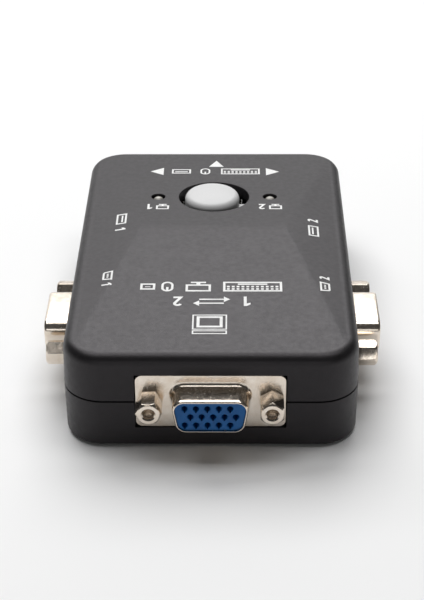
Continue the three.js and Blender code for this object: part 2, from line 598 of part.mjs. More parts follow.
function usbAShell() {
  const { width, height, depth, wall, centre } = USB_A;
  const outer = slabY(roundedRectangle(width / 2, height / 2, 0.7), 0, depth, 2);
  const inner = slabY(roundedRectangle(width / 2 - wall, height / 2 - wall, 0.4), -1, depth - wall, 2);
  const legs = [-1, 1].map((side) =>
    box(side * (width / 2 - wall / 2) - wall / 2, side * (width / 2 - wall / 2) + wall / 2, 8, 10, -centre, 0));
  const tongues = [-1, 1].flatMap((side) =>
    [-3.2, 3.2].map((x) => {
      const z = (side * height) / 2;
      const slot = box(x - 1.3, x + 1.3, 2.2, 7.6, z - 0.6, z + 0.6);
      return slot.subtract(box(x - 0.95, x + 0.95, 2.8, 9, z - 1, z + 1));
    }));
  const tailSlot = box(-width / 2 + 1, width / 2 - 1, depth - 3, depth + 1, -height, -height / 2 + wall + 0.1);
  return cutAll(outer.subtract(inner).add(joinAll(legs)), [...tongues, tailSlot]);
}

const USB_A_TONGUE = { half: 5.5, low: 0, high: 1.84, start: 0.9, blockStart: 9.8 };
const USB_A_CONTACTS = [-3.5, -1, 1, 3.5];

function usbATongue() {
  const { width, height, depth, wall } = USB_A;
  const { half, low, high, start, blockStart } = USB_A_TONGUE;
  const play = wall + 0.05;
  const tongue = box(-half, half, start, blockStart + 1, low, high);
  const block = slabY(roundedRectangle(width / 2 - play, height / 2 - play, 0.5), blockStart, depth - play, 2);
  const channels = USB_A_CONTACTS.map((x) => box(x - 0.6, x + 0.6, start + 0.7, depth, low - 0.1, low + 0.35));
  const well = box(-4.4, 4.4, depth - 2.7, depth, -height, low + 0.35);
  return cutAll(tongue.add(block), [...channels, well]);
}

// Four contacts under the tongue. Their tails run down to the board behind the block, joined by a web.
function usbAContacts() {
  const { depth, centre } = USB_A;
  const { low, start } = USB_A_TONGUE;
  const back = depth - 1.9;
  const top = low + 0.25;
  const strips = USB_A_CONTACTS.map((x) => box(x - 0.5, x + 0.5, start + 0.8, back - 0.1, low - 0.05, top));
  const tails = USB_A_CONTACTS.map((x) => box(x - 0.35, x + 0.35, back - 0.4, back, -centre, low + 0.1));
  const web = box(-4, 4, back - 0.4, back, low - 1.2, low - 0.4);
  return joinAll([web, ...strips, ...tails]);
}

// ---------------------------------------------------------------- USB-B socket

function usbBShell() {
  const { width, height, depth, wall, centre } = USB_B;
  const outer = slabY(roundedRectangle(width / 2, height / 2, 0.6), 0, depth, 2);
  const inner = slabY(roundedRectangle(width / 2 - wall, height / 2 - wall, 0.3), -1, depth - wall, 2);
  const legs = [-1, 1].map((side) =>
    box(side * (width / 2 - wall / 2) - wall / 2, side * (width / 2 - wall / 2) + wall / 2, 9, 11.5, -centre, 0));
  const tailSlot = box(-width / 2 + 1, width / 2 - 1, depth - 5, depth + 1, -height, -height / 2 + wall + 0.1);
  return outer.subtract(inner).add(joinAll(legs)).subtract(tailSlot);
}

// The mouth of a USB-B socket: nearly square, with its two upper corners cut off.
function usbBMouth() {
  const halfX = 4.25;
  const halfZ = 3.9;
  const bevel = 1.9;
  const points = [
    [-halfX, -halfZ], [halfX, -halfZ], [halfX, halfZ - bevel], [halfX - bevel, halfZ], [bevel - halfX, halfZ],
    [-halfX, halfZ - bevel],
  ];
  return new THREE.Shape(points.map(([x, z]) => new THREE.Vector2(x, z)));
}

const USB_B_POST = { halfX: 2.8, halfZ: 1.6, start: 1, cavityEnd: 9.4 };
const USB_B_CONTACTS = [-1, 1].flatMap((sz) => [-1.25, 1.25].map((x) => ({ x, sz })));

function usbBHousing() {
  const { width, height, depth, wall } = USB_B;
  const { halfX, halfZ, start, cavityEnd } = USB_B_POST;
  const play = wall + 0.05;
  const block = slabY(roundedRectangle(width / 2 - play, height / 2 - play, 0.45), 0.2, depth - 4, 2);
  const hollowed = block.subtract(slabY(usbBMouth(), -1, cavityEnd));
  const channels = USB_B_CONTACTS.map(({ x, sz }) => {
    const z = sz * (halfZ - 0.175);
    return box(x - 0.55, x + 0.55, start + 0.8, depth, z - 0.225, z + 0.225);
  });
  return cutAll(hollowed.add(box(-halfX, halfX, start, cavityEnd + 1, -halfZ, halfZ)), channels);
}

function usbBContacts() {
  const { depth, centre } = USB_B;
  const { halfZ, start } = USB_B_POST;
  const back = depth - 3.2;
  const strips = USB_B_CONTACTS.map(({ x, sz }) => {
    const z = sz * (halfZ - 0.15);
    return box(x - 0.45, x + 0.45, start + 0.9, back, z - 0.12, z + 0.12);
  });
  const tails = [-1.25, 1.25].map((x) => box(x - 0.35, x + 0.35, back - 0.4, back, -centre, halfZ));
  const web = box(-1.6, 1.6, back - 0.4, back, -0.5, 0.5);
  return joinAll([web, ...strips, ...tails]);
}

// ---------------------------------------------------------------- assembly

const kvmSwitch = new THREE.Group();
kvmSwitch.name = "kvm_switch";

function place(name, made, look, parent = kvmSwitch) {
  const mesh = new THREE.Mesh(geometryOf(made), look);
  mesh.name = name;
  parent.add(mesh);
}

// A group whose -Y faces out of a wall: turned about Z, with its origin at the mouth's centre.
function socketGroup(x, y, z, degrees) {
  const group = new THREE.Group();
  group.position.set(x, y, z);
  group.rotation.z = THREE.MathUtils.degToRad(degrees);
  kvmSwitch.add(group);
  return group;
}

function addVgaSocket(name, x, y, degrees, twists) {
  const group = socketGroup(x, y, VGA_Z, degrees);
  place(`${name}_shell`, vgaShell(), NICKEL, group);
  place(`${name}_insulator`, vgaInsulator(), BLUE_PLASTIC, group);
  place(`${name}_contacts`, vgaContacts(), GOLD, group);
  place(`${name}_bracket`, vgaBracket(), STEEL, group);
  place(`${name}_jack_screw_left`, jackScrew(-1, twists[0]), NICKEL, group);
  place(`${name}_jack_screw_right`, jackScrew(1, twists[1]), NICKEL, group);
}

function addUsbASocket(name, x) {
  const group = socketGroup(x, REAR_Y, BOARD_Z + USB_A.centre, 180);
  place(`${name}_shell`, usbAShell(), NICKEL, group);
  place(`${name}_tongue`, usbATongue(), WHITE_PLASTIC, group);
  place(`${name}_contacts`, usbAContacts(), GOLD, group);
}

function addUsbBSocket(name, side) {
  const group = socketGroup(side * SIDE_X, SIDE_USB_Y, BOARD_Z + USB_B.centre, side * 90);
  place(`${name}_shell`, usbBShell(), NICKEL, group);
  place(`${name}_housing`, usbBHousing(), WHITE_PLASTIC, group);
  place(`${name}_contacts`, usbBContacts(), GOLD, group);
}

const CORNERS = ["front_left", "rear_left", "front_right", "rear_right"];

place("top_cover", topCover(), BLACK_PLASTIC);
place("bottom_case", bottomCase(), BLACK_PLASTIC);
CORNERS.forEach((corner, i) => {
  place(`case_screw_${corner}`, caseScrew(COLUMN_SPOTS[i]), STEEL);
  place(`foot_${corner}`, foot(FOOT_SPOTS[i]), RUBBER);
});

place("circuit_board", circuitBoard(), BOARD_GREEN);
place("board_screw_left", boardScrew(BOARD_SCREWS[0]), STEEL);
place("board_screw_right", boardScrew(BOARD_SCREWS[1]), STEEL);
place("video_switch_chip", chip(0, -18, 10.2, 5.4, 8), CHIP_BLACK);
place("usb_switch_chip", chip(0, -4, 10.2, 5.4, 8), CHIP_BLACK);
place("crystal", crystal(0, 8), STEEL);
place("capacitor_left", capacitor(-10.5, 15.5), CHIP_BLACK);
place("capacitor_right", capacitor(10.5, 15.5), CHIP_BLACK);

// The jack screws stop wherever their threads tighten, so each has a twist of its own.
const flangeX = SIDE_X - VGA.recess;
addVgaSocket("monitor_port", 0, FRONT_Y + VGA.recess, 0, [2, 31]);
addVgaSocket("pc1_vga_port", -flangeX, SIDE_VGA_Y, -90, [14, -35]);
addVgaSocket("pc2_vga_port", flangeX, SIDE_VGA_Y, 90, [4, 49]);
addUsbBSocket("pc1_usb_port", -1);
addUsbBSocket("pc2_usb_port", 1);
addUsbASocket("console_usb_left", USB_A.pitch * -1);
addUsbASocket("console_usb_middle", 0);
addUsbASocket("console_usb_right", USB_A.pitch);

place("select_button_cap", buttonCap(), SILVER_PAINT);
place("switch_housing", switchHousing(), CHIP_BLACK);
place("switch_plunger", switchPlunger(), WHITE_PLASTIC);
place("switch_spring", switchSpring(), STEEL);
[["pc1_lamp", -LAMP.x], ["pc2_lamp", LAMP.x]].forEach(([name, x]) => {
  place(`${name}_lens`, lampLens(x), LAMP_PLASTIC);
  place(`${name}_spacer`, lampSpacer(x), CHIP_BLACK);
});

export default kvmSwitch;
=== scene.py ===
"""The looks of a two-computer KVM switch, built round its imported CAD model.

Shapes here are worked out in millimetres, in the CAD model's own frame, and become metres when a piece is
finished. A socket is drawn looking out along -Y, with its flange or mouth in the plane y = 0, and is then
turned to its wall.
"""

import json
import math

import bmesh
import bpy
from mathutils import Matrix, Vector


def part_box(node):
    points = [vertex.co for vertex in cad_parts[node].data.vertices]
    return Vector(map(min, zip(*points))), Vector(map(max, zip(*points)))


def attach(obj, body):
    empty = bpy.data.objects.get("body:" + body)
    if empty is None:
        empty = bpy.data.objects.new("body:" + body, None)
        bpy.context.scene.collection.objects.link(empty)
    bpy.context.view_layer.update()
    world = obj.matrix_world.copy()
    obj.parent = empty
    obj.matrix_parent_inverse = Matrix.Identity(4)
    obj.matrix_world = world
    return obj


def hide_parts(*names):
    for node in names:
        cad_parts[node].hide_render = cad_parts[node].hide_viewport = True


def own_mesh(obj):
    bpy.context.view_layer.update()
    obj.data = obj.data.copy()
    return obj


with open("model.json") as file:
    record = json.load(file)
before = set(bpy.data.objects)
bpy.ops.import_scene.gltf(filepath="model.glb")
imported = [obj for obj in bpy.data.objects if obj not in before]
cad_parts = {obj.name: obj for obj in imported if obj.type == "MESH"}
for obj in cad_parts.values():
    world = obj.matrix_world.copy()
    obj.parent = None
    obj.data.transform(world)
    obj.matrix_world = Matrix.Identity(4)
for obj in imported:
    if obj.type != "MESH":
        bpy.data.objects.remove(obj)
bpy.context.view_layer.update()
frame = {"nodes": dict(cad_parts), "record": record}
MM = 0.001

CORNERS = ("front_left", "rear_left", "front_right", "rear_right")
VGA_PORTS = ("monitor_port", "pc1_vga_port", "pc2_vga_port")
USB_B_PORTS = ("pc1_usb_port", "pc2_usb_port")
USB_A_PORTS = ("console_usb_left", "console_usb_middle", "console_usb_right")


def box_of(node):
    """The lowest and highest corner of a CAD node, in millimetres."""
    low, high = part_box(node)
    return low / MM, high / MM


def middle_of(node):
    """Middle of a CAD node seen from above, in millimetres."""
    low, high = box_of(node)
    return (low.x + high.x) / 2, (low.y + high.y) / 2


# ------------ places and sizes, from the frame

COVER_LOW, COVER_HIGH = box_of("top_cover")
CAP_FOOT_Z = box_of("select_button_cap")[0].z
LENS_TOP_Z = box_of("pc2_lamp_lens")[1].z
BOARD_LOW, BOARD_HIGH = box_of("circuit_board")

SIDE_X = COVER_HIGH.x
FRONT_Y, REAR_Y = COVER_LOW.y, COVER_HIGH.y
MIDDLE_Y = (FRONT_Y + REAR_Y) / 2
CORNER, EDGE, DRAFT, WALL = 8.5, 2.4, 0.15, 2.0  # plan corner, top edge, lean of the walls, thickness
ROOF_RISE, ROOF_HALF_RIDGE, ROOF_FROM_FRONT, ROOF_THICK = 2.0, 16.5, 51.8, 1.9
BASE_Z, TOP_Z = box_of("bottom_case")[0].z, COVER_HIGH.z - ROOF_RISE  # the underside, and the facets' rim
PART_Z = (BASE_Z + TOP_Z) / 2
FLOOR_Z = BASE_Z + 1.8
PAD_Z = TOP_Z - 1.4  # flat seats inside the top, round the button and the lamps
BOARD_Z = BOARD_HIGH.z
LAMP_X, BUTTON_Y = middle_of("pc2_lamp_lens")
SEAM = 0.24  # the parting line's gap
USB_A = {"width": 13.1, "height": 5.7, "depth": 14, "wall": 0.3, "lift": 3.6}  # lift: middle over the board
USB_B = {"width": 12, "height": 10.9, "depth": 16, "wall": 0.35, "lift": 5.55}
LIP_INSET, LIP_HEIGHT, LIP_PLAY = 1.15, 1.4, 0.2
VGA_WINDOW_PLAY, USB_WINDOW_PLAY = 0.12, 0.05
BUTTON_HOLE, LAMP_HOLE = 8.2, 1.62
VGA_Z = BOARD_Z + 6.35
RIM_INSET = DRAFT + EDGE
RIM_X, RIM_FRONT_Y, RIM_REAR_Y = SIDE_X - RIM_INSET, FRONT_Y + RIM_INSET, REAR_Y - RIM_INSET
RIDGE_Y = FRONT_Y + ROOF_FROM_FRONT
REAR_SLOPE = math.degrees(math.atan(ROOF_RISE / (RIM_REAR_Y - RIDGE_Y)))
SCREW_SPOTS = [middle_of(f"case_screw_{corner}") for corner in CORNERS]
FOOT_SPOTS = [middle_of(f"foot_{corner}") for corner in CORNERS]
SCREW_HEAD_DEPTH = 2.0
BOARD_POST_X = 21.5


# ------------ mesh helpers


def new_object(points, faces, name="shape"):
    """A mesh object from points and faces, still in millimetres."""
    mesh = bpy.data.meshes.new(name)
    mesh.from_pydata([tuple(p) for p in points], [], faces)
    made = bpy.data.objects.new(name, mesh)
    bpy.context.scene.collection.objects.link(made)
    return made


def moved(shape, matrix):
    shape.data.transform(matrix)
    if matrix.determinant() < 0:
        shape.data.flip_normals()
    return shape


def shifted(shape, x=0, y=0, z=0):
    return moved(shape, Matrix.Translation((x, y, z)))


def turned(shape, degrees, axis):
    return moved(shape, Matrix.Rotation(math.radians(degrees), 4, axis))


def block(x0, x1, y0, y1, z0, z1):
    points = [(x, y, z) for z in (z0, z1) for x, y in ((x0, y0), (x1, y0), (x1, y1), (x0, y1))]
    faces = [(3, 2, 1, 0), (4, 5, 6, 7), (0, 1, 5, 4), (1, 2, 6, 5), (2, 3, 7, 6), (3, 0, 4, 7)]
    return new_object(points, faces)


def loft(rings, capped=True):
    """A solid through rings of equal length, each anticlockwise seen from the last ring's side.

    Without its last cap it is closed only if the last ring folds flat onto itself.
    """
    count = len(rings[0])
    points = [p for ring in rings for p in ring]
    faces = [tuple(reversed(range(count)))]
    for r in range(len(rings) - 1):
        for i in range(count):
            j = (i + 1) % count
            faces.append((r * count + i, r * count + j, (r + 1) * count + j, (r + 1) * count + i))
    if capped:
        faces.append(tuple(range((len(rings) - 1) * count, len(rings) * count)))
    return new_object(points, faces)


def prism_y(outline, y0, y1):
    """An anticlockwise XZ outline, seen from the front, pushed back from y0 to y1."""
    return loft([[(x, y, z) for x, z in outline] for y in (y1, y0)])


def lathe(profile, sides=48):
    """A solid of revolution about Z. Its (radius, z) points run from axis to axis, upwards outside."""
    points, rows = [], []
    for radius, z in profile:
        if radius == 0:
            rows.append([len(points)] * sides)
            points.append((0, 0, z))
            continue
        rows.append(list(range(len(points), len(points) + sides)))
        for i in range(sides):
            angle = 2 * math.pi * i / sides
            points.append((radius * math.cos(angle), radius * math.sin(angle), z))
    faces = []
    for low, high in zip(rows, rows[1:]):
        for i in range(sides):
            j = (i + 1) % sides
            corners = [low[i], low[j], high[j], high[i]]
            faces.append(tuple(dict.fromkeys(corners)))
    return new_object(points, [f for f in faces if len(f) > 2])


def rod(radius, z0, z1, x=0, y=0, sides=40):
    return shifted(lathe([(0, z0), (radius, z0), (radius, z1), (0, z1)], sides), x, y)


def rod_y(radius, y0, y1, x=0, z=0, sides=32):
    return shifted(turned(lathe([(0, -y1), (radius, -y1), (radius, -y0), (0, -y0)], sides), 90, "X"), x, 0, z)


def helix(radius, wire, turns, z0, z1, steps=40, sides=10):
    """A round wire wound about Z, with its centre line from z0 to z1."""
    up = Vector((0, 0, 1))
    rings = []
    for i in range(turns * steps + 1):
        angle = 2 * math.pi * i / steps
        out = Vector((math.cos(angle), math.sin(angle), 0))
        centre = out * radius + Vector((0, 0, z0 + (z1 - z0) * i / (turns * steps)))
        spokes = (2 * math.pi * k / sides for k in range(sides))
        rings.append([centre + (out * math.cos(a) + up * math.sin(a)) * wire for a in spokes])
    return loft(rings)


def merge(shape, distance=1e-4):
    """Joins points closer than distance, and drops faces and edges of no size."""
    work = bmesh.new()
    work.from_mesh(shape.data)
    bmesh.ops.remove_doubles(work, verts=work.verts, dist=distance)
    bmesh.ops.dissolve_degenerate(work, edges=work.edges, dist=distance)
    work.to_mesh(shape.data)
    work.free()
    return shape


def apply_modifiers(shape):
    graph = bpy.context.evaluated_depsgraph_get()
    graph.update()
    mesh = bpy.data.meshes.new_from_object(shape.evaluated_get(graph))
    shape.modifiers.clear()
    shape.data = mesh
    return shape


def combine(shape, operation, tools):
    """Adds or takes away the tools, which are used up."""
    for tool in tools:
        step = shape.modifiers.new("combine", "BOOLEAN")
        step.operation = operation
        step.solver = "MANIFOLD"
        step.object = tool
    apply_modifiers(shape)
    for tool in tools:
        bpy.data.objects.remove(tool)
    return shape


def add(shape, *tools):
    return combine(shape, "UNION", tools)


def cut(shape, *tools):
    return combine(shape, "DIFFERENCE", tools)


def soften(shape, width, segments=2, angle=35):
    """Rounds the sharp edges by width millimetres."""
    step = shape.modifiers.new("soften", "BEVEL")
    step.width = width
    step.segments = segments
    step.limit_method = "ANGLE"
    step.angle_limit = math.radians(angle)
    step.use_clamp_overlap = True
    return apply_modifiers(shape)


def arc(x, y, radius, start, stop, steps):
    """Points on an arc, with angles in degrees."""
    angles = (math.radians(start + (stop - start) * i / steps) for i in range(steps + 1))
    return [(x + radius * math.cos(a), y + radius * math.sin(a)) for a in angles]


def rounded_rectangle(half_x, half_y, radius, steps=8):
    corners = ((1, 1, 0), (-1, 1, 90), (-1, -1, 180), (1, -1, 270))
    return [
        point
        for sx, sy, start in corners
        for point in arc(sx * (half_x - radius), sy * (half_y - radius), radius, start, start + 90, steps)
    ]


def finish_piece(shape, name, slot, replaced, body="case", smooth=32):
    """Turns a shape into a named piece in metres, with its material, riding on its body."""
    mesh = merge(shape).data
    mesh.transform(Matrix.Scale(MM, 4))
    mesh.shade_smooth()
    mesh.set_sharp_from_angle(angle=math.radians(smooth))
    shape.name = mesh.name = name
    mesh.materials.clear()
    mesh.materials.append(MATERIALS[slot])
    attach(shape, body)
    if replaced:
        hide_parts(*replaced)
    return shape


# ------------ materials


class Look:
    """A node material round one Principled shader, with helpers for procedural detail."""

    def __init__(self, name, colour, roughness, **inputs):
        self.material = bpy.data.materials.new(name)
        self.material.use_nodes = True
        self.tree = self.material.node_tree
        self.shader = self.tree.nodes["Principled BSDF"]
        self.shader.inputs["Base Color"].default_value = (*colour, 1)
        self.shader.inputs["Roughness"].default_value = roughness
        for socket, value in inputs.items():
            self.shader.inputs[socket.replace("_", " ")].default_value = value
        self.place = self.tree.nodes.new("ShaderNodeTexCoord").outputs["Object"]
        MATERIALS[name] = self.material

    def node(self, kind, links=(), **values):
        made = self.tree.nodes.new("ShaderNode" + kind)
        for key, value in values.items():
            setattr(made, key, value)
        for socket, source in dict(links).items():
            if isinstance(source, (int, float, tuple)):
                made.inputs[socket].default_value = source
            else:
                self.tree.links.new(source, made.inputs[socket])
        return made

    def noise(self, size_mm, detail=3, stretch=None):
        """Noise whose largest features are size_mm across."""
        place = self.place
        if stretch:
            place = self.node("Mapping", {"Vector": place, "Scale": stretch}).outputs["Vector"]
        links = {"Vector": place, "Scale": 1 / (size_mm * MM), "Detail": detail}
        return self.node("TexNoise", links).outputs["Fac"]

    def spread(self, value, low, high, start=0.3, stop=0.7):
        """value, from start to stop, mapped to low to high."""
        links = {"Value": value, "From Min": start, "From Max": stop, "To Min": low, "To Max": high}
        return self.node("MapRange", links).outputs["Result"]

    def roughness(self, value, low, high):
        self.tree.links.new(self.spread(value, low, high), self.shader.inputs["Roughness"])

    def colours(self, value, first, second, start=0.3, stop=0.7):
        """Base colour from first to second as value rises."""
        self.mixed(self.spread(value, 0, 1, start, stop), (*first, 1), (*second, 1))

    def mixed(self, share, first, second):
        """Base colour from first to second, each a colour or another node's output, by share."""
        mix = self.node("Mix", data_type="RGBA")
        self.tree.links.new(share, mix.inputs["Factor"])
        for socket, source in zip([s for s in mix.inputs if s.type == "RGBA"], (first, second)):
            if isinstance(source, tuple):
                socket.default_value = source
            else:
                self.tree.links.new(source, socket)
        self.colour = next(s for s in mix.outputs if s.type == "RGBA")
        self.tree.links.new(self.colour, self.shader.inputs["Base Color"])

    def bumps(self, *layers):
        """Layers of (height, depth in mm), one on the other."""
        normal = None
        for height, depth in layers:
            links = {"Height": height, "Distance": depth * MM, "Strength": 1.0}
            if normal:
                links["Normal"] = normal
            normal = self.node("Bump", links).outputs["Normal"]
        self.tree.links.new(normal, self.shader.inputs["Normal"])


MATERIALS = {}


def black_plastic():
    """Moulded ABS with a fine spark-eroded texture and a few specks of dust."""
    look = Look("black_plastic", (0.011, 0.0105, 0.0112), 0.42, Specular_IOR_Level=0.38,
                Specular_Tint=(1, 0.94, 0.985, 1))
    look.roughness(look.noise(1.1, 5), 0.37, 0.47)
    look.colours(look.noise(14, 3), (0.0090, 0.0084, 0.0091), (0.0120, 0.0112, 0.0120))
    cells = look.node("TexVoronoi", {"Vector": look.place, "Scale": 1 / (8.5 * MM)})
    specks = look.spread(cells.outputs["Distance"], 1, 0, 0.008, 0.013)
    look.mixed(specks, look.colour, (0.22, 0.21, 0.20, 1))
    look.bumps((look.noise(0.3, 3), 0.022), (look.noise(0.8, 2), 0.009), (look.noise(9, 2), 0.03))


def silver_plastic():
    """Pale silver paint, smooth, with a fine flake in it."""
    look = Look("silver_plastic", (0.4, 0.4, 0.4), 0.4, Specular_IOR_Level=0.35)
    look.roughness(look.noise(0.5, 3), 0.34, 0.42)
    look.colours(look.noise(0.12, 2), (0.60, 0.60, 0.602), (0.66, 0.66, 0.66))
    look.bumps((look.noise(0.12, 2), 0.0012), (look.noise(2.5, 2), 0.004))


def bright_nickel():
    """Nickel plate over stamped steel, warm, with the steel's faint grain under it."""
    look = Look("bright_nickel", (0.82, 0.72, 0.61), 0.2, Metallic=1.0)
    look.roughness(look.noise(0.6, 5), 0.16, 0.28)
    look.colours(look.noise(1.5, 4), (0.78, 0.68, 0.57), (0.87, 0.79, 0.70))
    look.bumps((look.noise(0.35, 4), 0.003), (look.noise(3, 2), 0.012))


def zinc_steel():
    look = Look("zinc_steel", (0.5, 0.5, 0.5), 0.35, Metallic=1.0)
    look.roughness(look.noise(0.4, 5), 0.28, 0.45)
    look.colours(look.noise(1.1, 3), (0.42, 0.42, 0.43), (0.58, 0.58, 0.57))
    look.bumps((look.noise(0.3, 4), 0.012))


def contact_gold():
    look = Look("contact_gold", (0.9, 0.68, 0.32), 0.25, Metallic=1.0)
    look.roughness(look.noise(0.3, 4), 0.2, 0.33)
    look.colours(look.noise(0.8, 3), (0.84, 0.60, 0.26), (0.93, 0.72, 0.36))
    look.bumps((look.noise(0.2, 3), 0.004))


def moulded(name, dark, light, roughness, grain_mm=0.3, depth=0.006, **inputs):
    """A plain moulded plastic, rubber or nylon."""
    look = Look(name, light, roughness, **inputs)
    look.roughness(look.noise(0.7, 4), roughness - 0.05, roughness + 0.06)
    look.colours(look.noise(2.5, 3), dark, light)
    look.bumps((look.noise(grain_mm, 4), depth))


def board_laminate():
    """Green solder mask over etched tracks."""
    look = Look("board_laminate", (0.01, 0.12, 0.045), 0.32)
    cells = look.node("TexVoronoi", {"Vector": look.place, "Scale": 1 / (3.2 * MM)}, distance="MANHATTAN")
    tracks = look.node("TexWave", {"Vector": look.place, "Scale": 1 / (22 * MM), "Distortion": 3.0,
                                   "Detail": 1.0, "Detail Scale": 1.5})
    look.colours(tracks.outputs["Fac"], (0.006, 0.075, 0.028), (0.014, 0.17, 0.06), 0.45, 0.55)
    look.bumps((cells.outputs["Distance"], 0.01), (look.noise(0.4, 3), 0.003))


def lamp_epoxy():
    """Cloudy epoxy with a pale crown, darkened towards its foot by painted shade for the shadow in the lamp's
    hole.
    """
    look = Look("lamp_epoxy", (0.3, 0.29, 0.27), 0.2, Specular_IOR_Level=0.45)
    look.roughness(look.noise(0.6, 3), 0.14, 0.26)
    height = look.node("SeparateXYZ", {"Vector": look.place}).outputs["Z"]
    crown_z = LENS_TOP_Z * MM
    # painted shade: below the crown the colour goes to near black by height, standing in for the shade of the
    # hole round the lamp
    depth = look.spread(height, 0, 1, crown_z - 0.75 * MM, crown_z - 0.1 * MM)
    look.mixed(depth, (0.012, 0.011, 0.010, 1), (0.42, 0.40, 0.36, 1))
    look.bumps((look.noise(0.5, 3), 0.004))


black_plastic()
silver_plastic()
bright_nickel()
zinc_steel()
contact_gold()
board_laminate()
moulded("blue_plastic", (0.004, 0.085, 0.28), (0.006, 0.12, 0.37), 0.38, Specular_IOR_Level=0.3)
moulded("white_plastic", (0.72, 0.70, 0.65), (0.82, 0.80, 0.75), 0.4)
moulded("black_rubber", (0.012, 0.012, 0.012), (0.03, 0.03, 0.03), 0.8, 0.4, 0.03)
moulded("chip_epoxy", (0.013, 0.013, 0.014), (0.03, 0.03, 0.032), 0.5, 0.15, 0.01)
moulded("spacer_nylon", (0.015, 0.015, 0.016), (0.035, 0.035, 0.037), 0.45)
lamp_epoxy()
moulded("white_print", (0.72, 0.72, 0.71), (0.88, 0.88, 0.87), 0.5, 0.1, 0.002)


# ------------ covers


def case_outline(inset, z, steps=16):
    """The box's outline, drawn in by inset."""
    ring = rounded_rectangle(SIDE_X - inset, (REAR_Y - FRONT_Y) / 2 - inset, CORNER - inset, steps)
    return [(x, MIDDLE_Y + y, z) for x, y in ring]


def case_slab(inset, z0, z1):
    """A block with the box's outline, drawn in by inset."""
    return loft([case_outline(inset, z0), case_outline(inset, z1)])


def smooth_least(a, b, blend):
    """The smaller of a and b, eased where they are closer than blend."""
    overlap = max(blend - abs(a - b), 0) / blend
    return min(a, b) - overlap * overlap * blend / 4


def roof_lift(x, y):
    """Height of the top over its rim: four planes that rise to a short ridge, softly creased."""
    side = (RIM_X - abs(x)) / (RIM_X - ROOF_HALF_RIDGE)
    front = (y - RIM_FRONT_Y) / (RIDGE_Y - RIM_FRONT_Y)
    rear = (RIM_REAR_Y - y) / (RIM_REAR_Y - RIDGE_Y)
    crease = 0.05
    lowest = smooth_least(side, smooth_least(front, rear, crease), crease)
    return ROOF_RISE * max(0, lowest + crease / 4 * max(0, lowest))


def top_height(x, y):
    return TOP_Z + roof_lift(x, y)


def top_rings():
    """Rings from the rim in to the ridge, over the four facets."""
    rim = case_outline(RIM_INSET, 0)
    shares = (0.04, 0.12, 0.25, 0.4, 0.55, 0.7, 0.82, 0.9, 0.95, 0.98, 1)
    rings = []
    for share in shares:
        ring = []
        for x, y, _ in rim:
            along = max(-ROOF_HALF_RIDGE, min(ROOF_HALF_RIDGE, x))
            px, py = x + (along - x) * share, y + (RIDGE_Y - y) * share
            ring.append((px, py, top_height(px, py)))
        rings.append(ring)
    return rings


def under_roof(drop):
    """Everything under the four planes, lowered by drop."""
    falls = TOP_Z / ROOF_RISE + 1
    x = ROOF_HALF_RIDGE + (RIM_X - ROOF_HALF_RIDGE) * falls
    y0 = RIDGE_Y + (RIM_FRONT_Y - RIDGE_Y) * falls
    y1 = RIDGE_Y + (RIM_REAR_Y - RIDGE_Y) * falls
    ridge_z = TOP_Z + ROOF_RISE - drop
    base_z = ridge_z - ROOF_RISE * falls
    points = [(-ROOF_HALF_RIDGE, RIDGE_Y, ridge_z), (ROOF_HALF_RIDGE, RIDGE_Y, ridge_z)]
    points += [(-x, y0, base_z), (x, y0, base_z), (x, y1, base_z), (-x, y1, base_z)]
    return new_object(points, [(0, 2, 3, 1), (1, 3, 4), (1, 4, 5, 0), (0, 5, 2), (5, 4, 3, 2)])


def mouth_box(port):
    """The box of a socket's metal shell, less the legs with which a USB shell reaches down to the board."""
    low, high = box_of(f"{port}_shell")
    if port in USB_A_PORTS:
        low.z = high.z - USB_A["height"]
    elif port in USB_B_PORTS:
        low.z = high.z - USB_B["height"]
    return low, high


def windows():
    """Cutters for the walls in front of every socket, a little larger than its box."""
    past = 1
    made = []
    for port in VGA_PORTS + USB_B_PORTS + USB_A_PORTS:
        low, high = mouth_box(port)
        play = VGA_WINDOW_PLAY if port in VGA_PORTS else USB_WINDOW_PLAY
        low, high = low - Vector((play,) * 3), high + Vector((play,) * 3)
        if port == "monitor_port":
            low.y, high.y = FRONT_Y - past, FRONT_Y + WALL + past
        elif port in USB_A_PORTS:
            low.y, high.y = REAR_Y - WALL - past, REAR_Y + past
        elif low.x < 0:
            low.x, high.x = -SIDE_X - past, -SIDE_X + WALL + past
        else:
            low.x, high.x = SIDE_X - WALL - past, SIDE_X + past
        made.append(block(low.x, high.x, low.y, high.y, low.z, high.z))
    return made


def tilted_hole(x, y, radius, chamfer):
    """A cutter for a hole square to the rear facet, with a chamfered mouth."""
    wide = radius + 2 * chamfer
    profile = [(0, -4), (radius, -4), (radius, -chamfer), (wide, chamfer), (wide, 3), (0, 3)]
    return shifted(turned(lathe(profile, 72), -REAR_SLOPE, "X"), x, y, top_height(x, y))


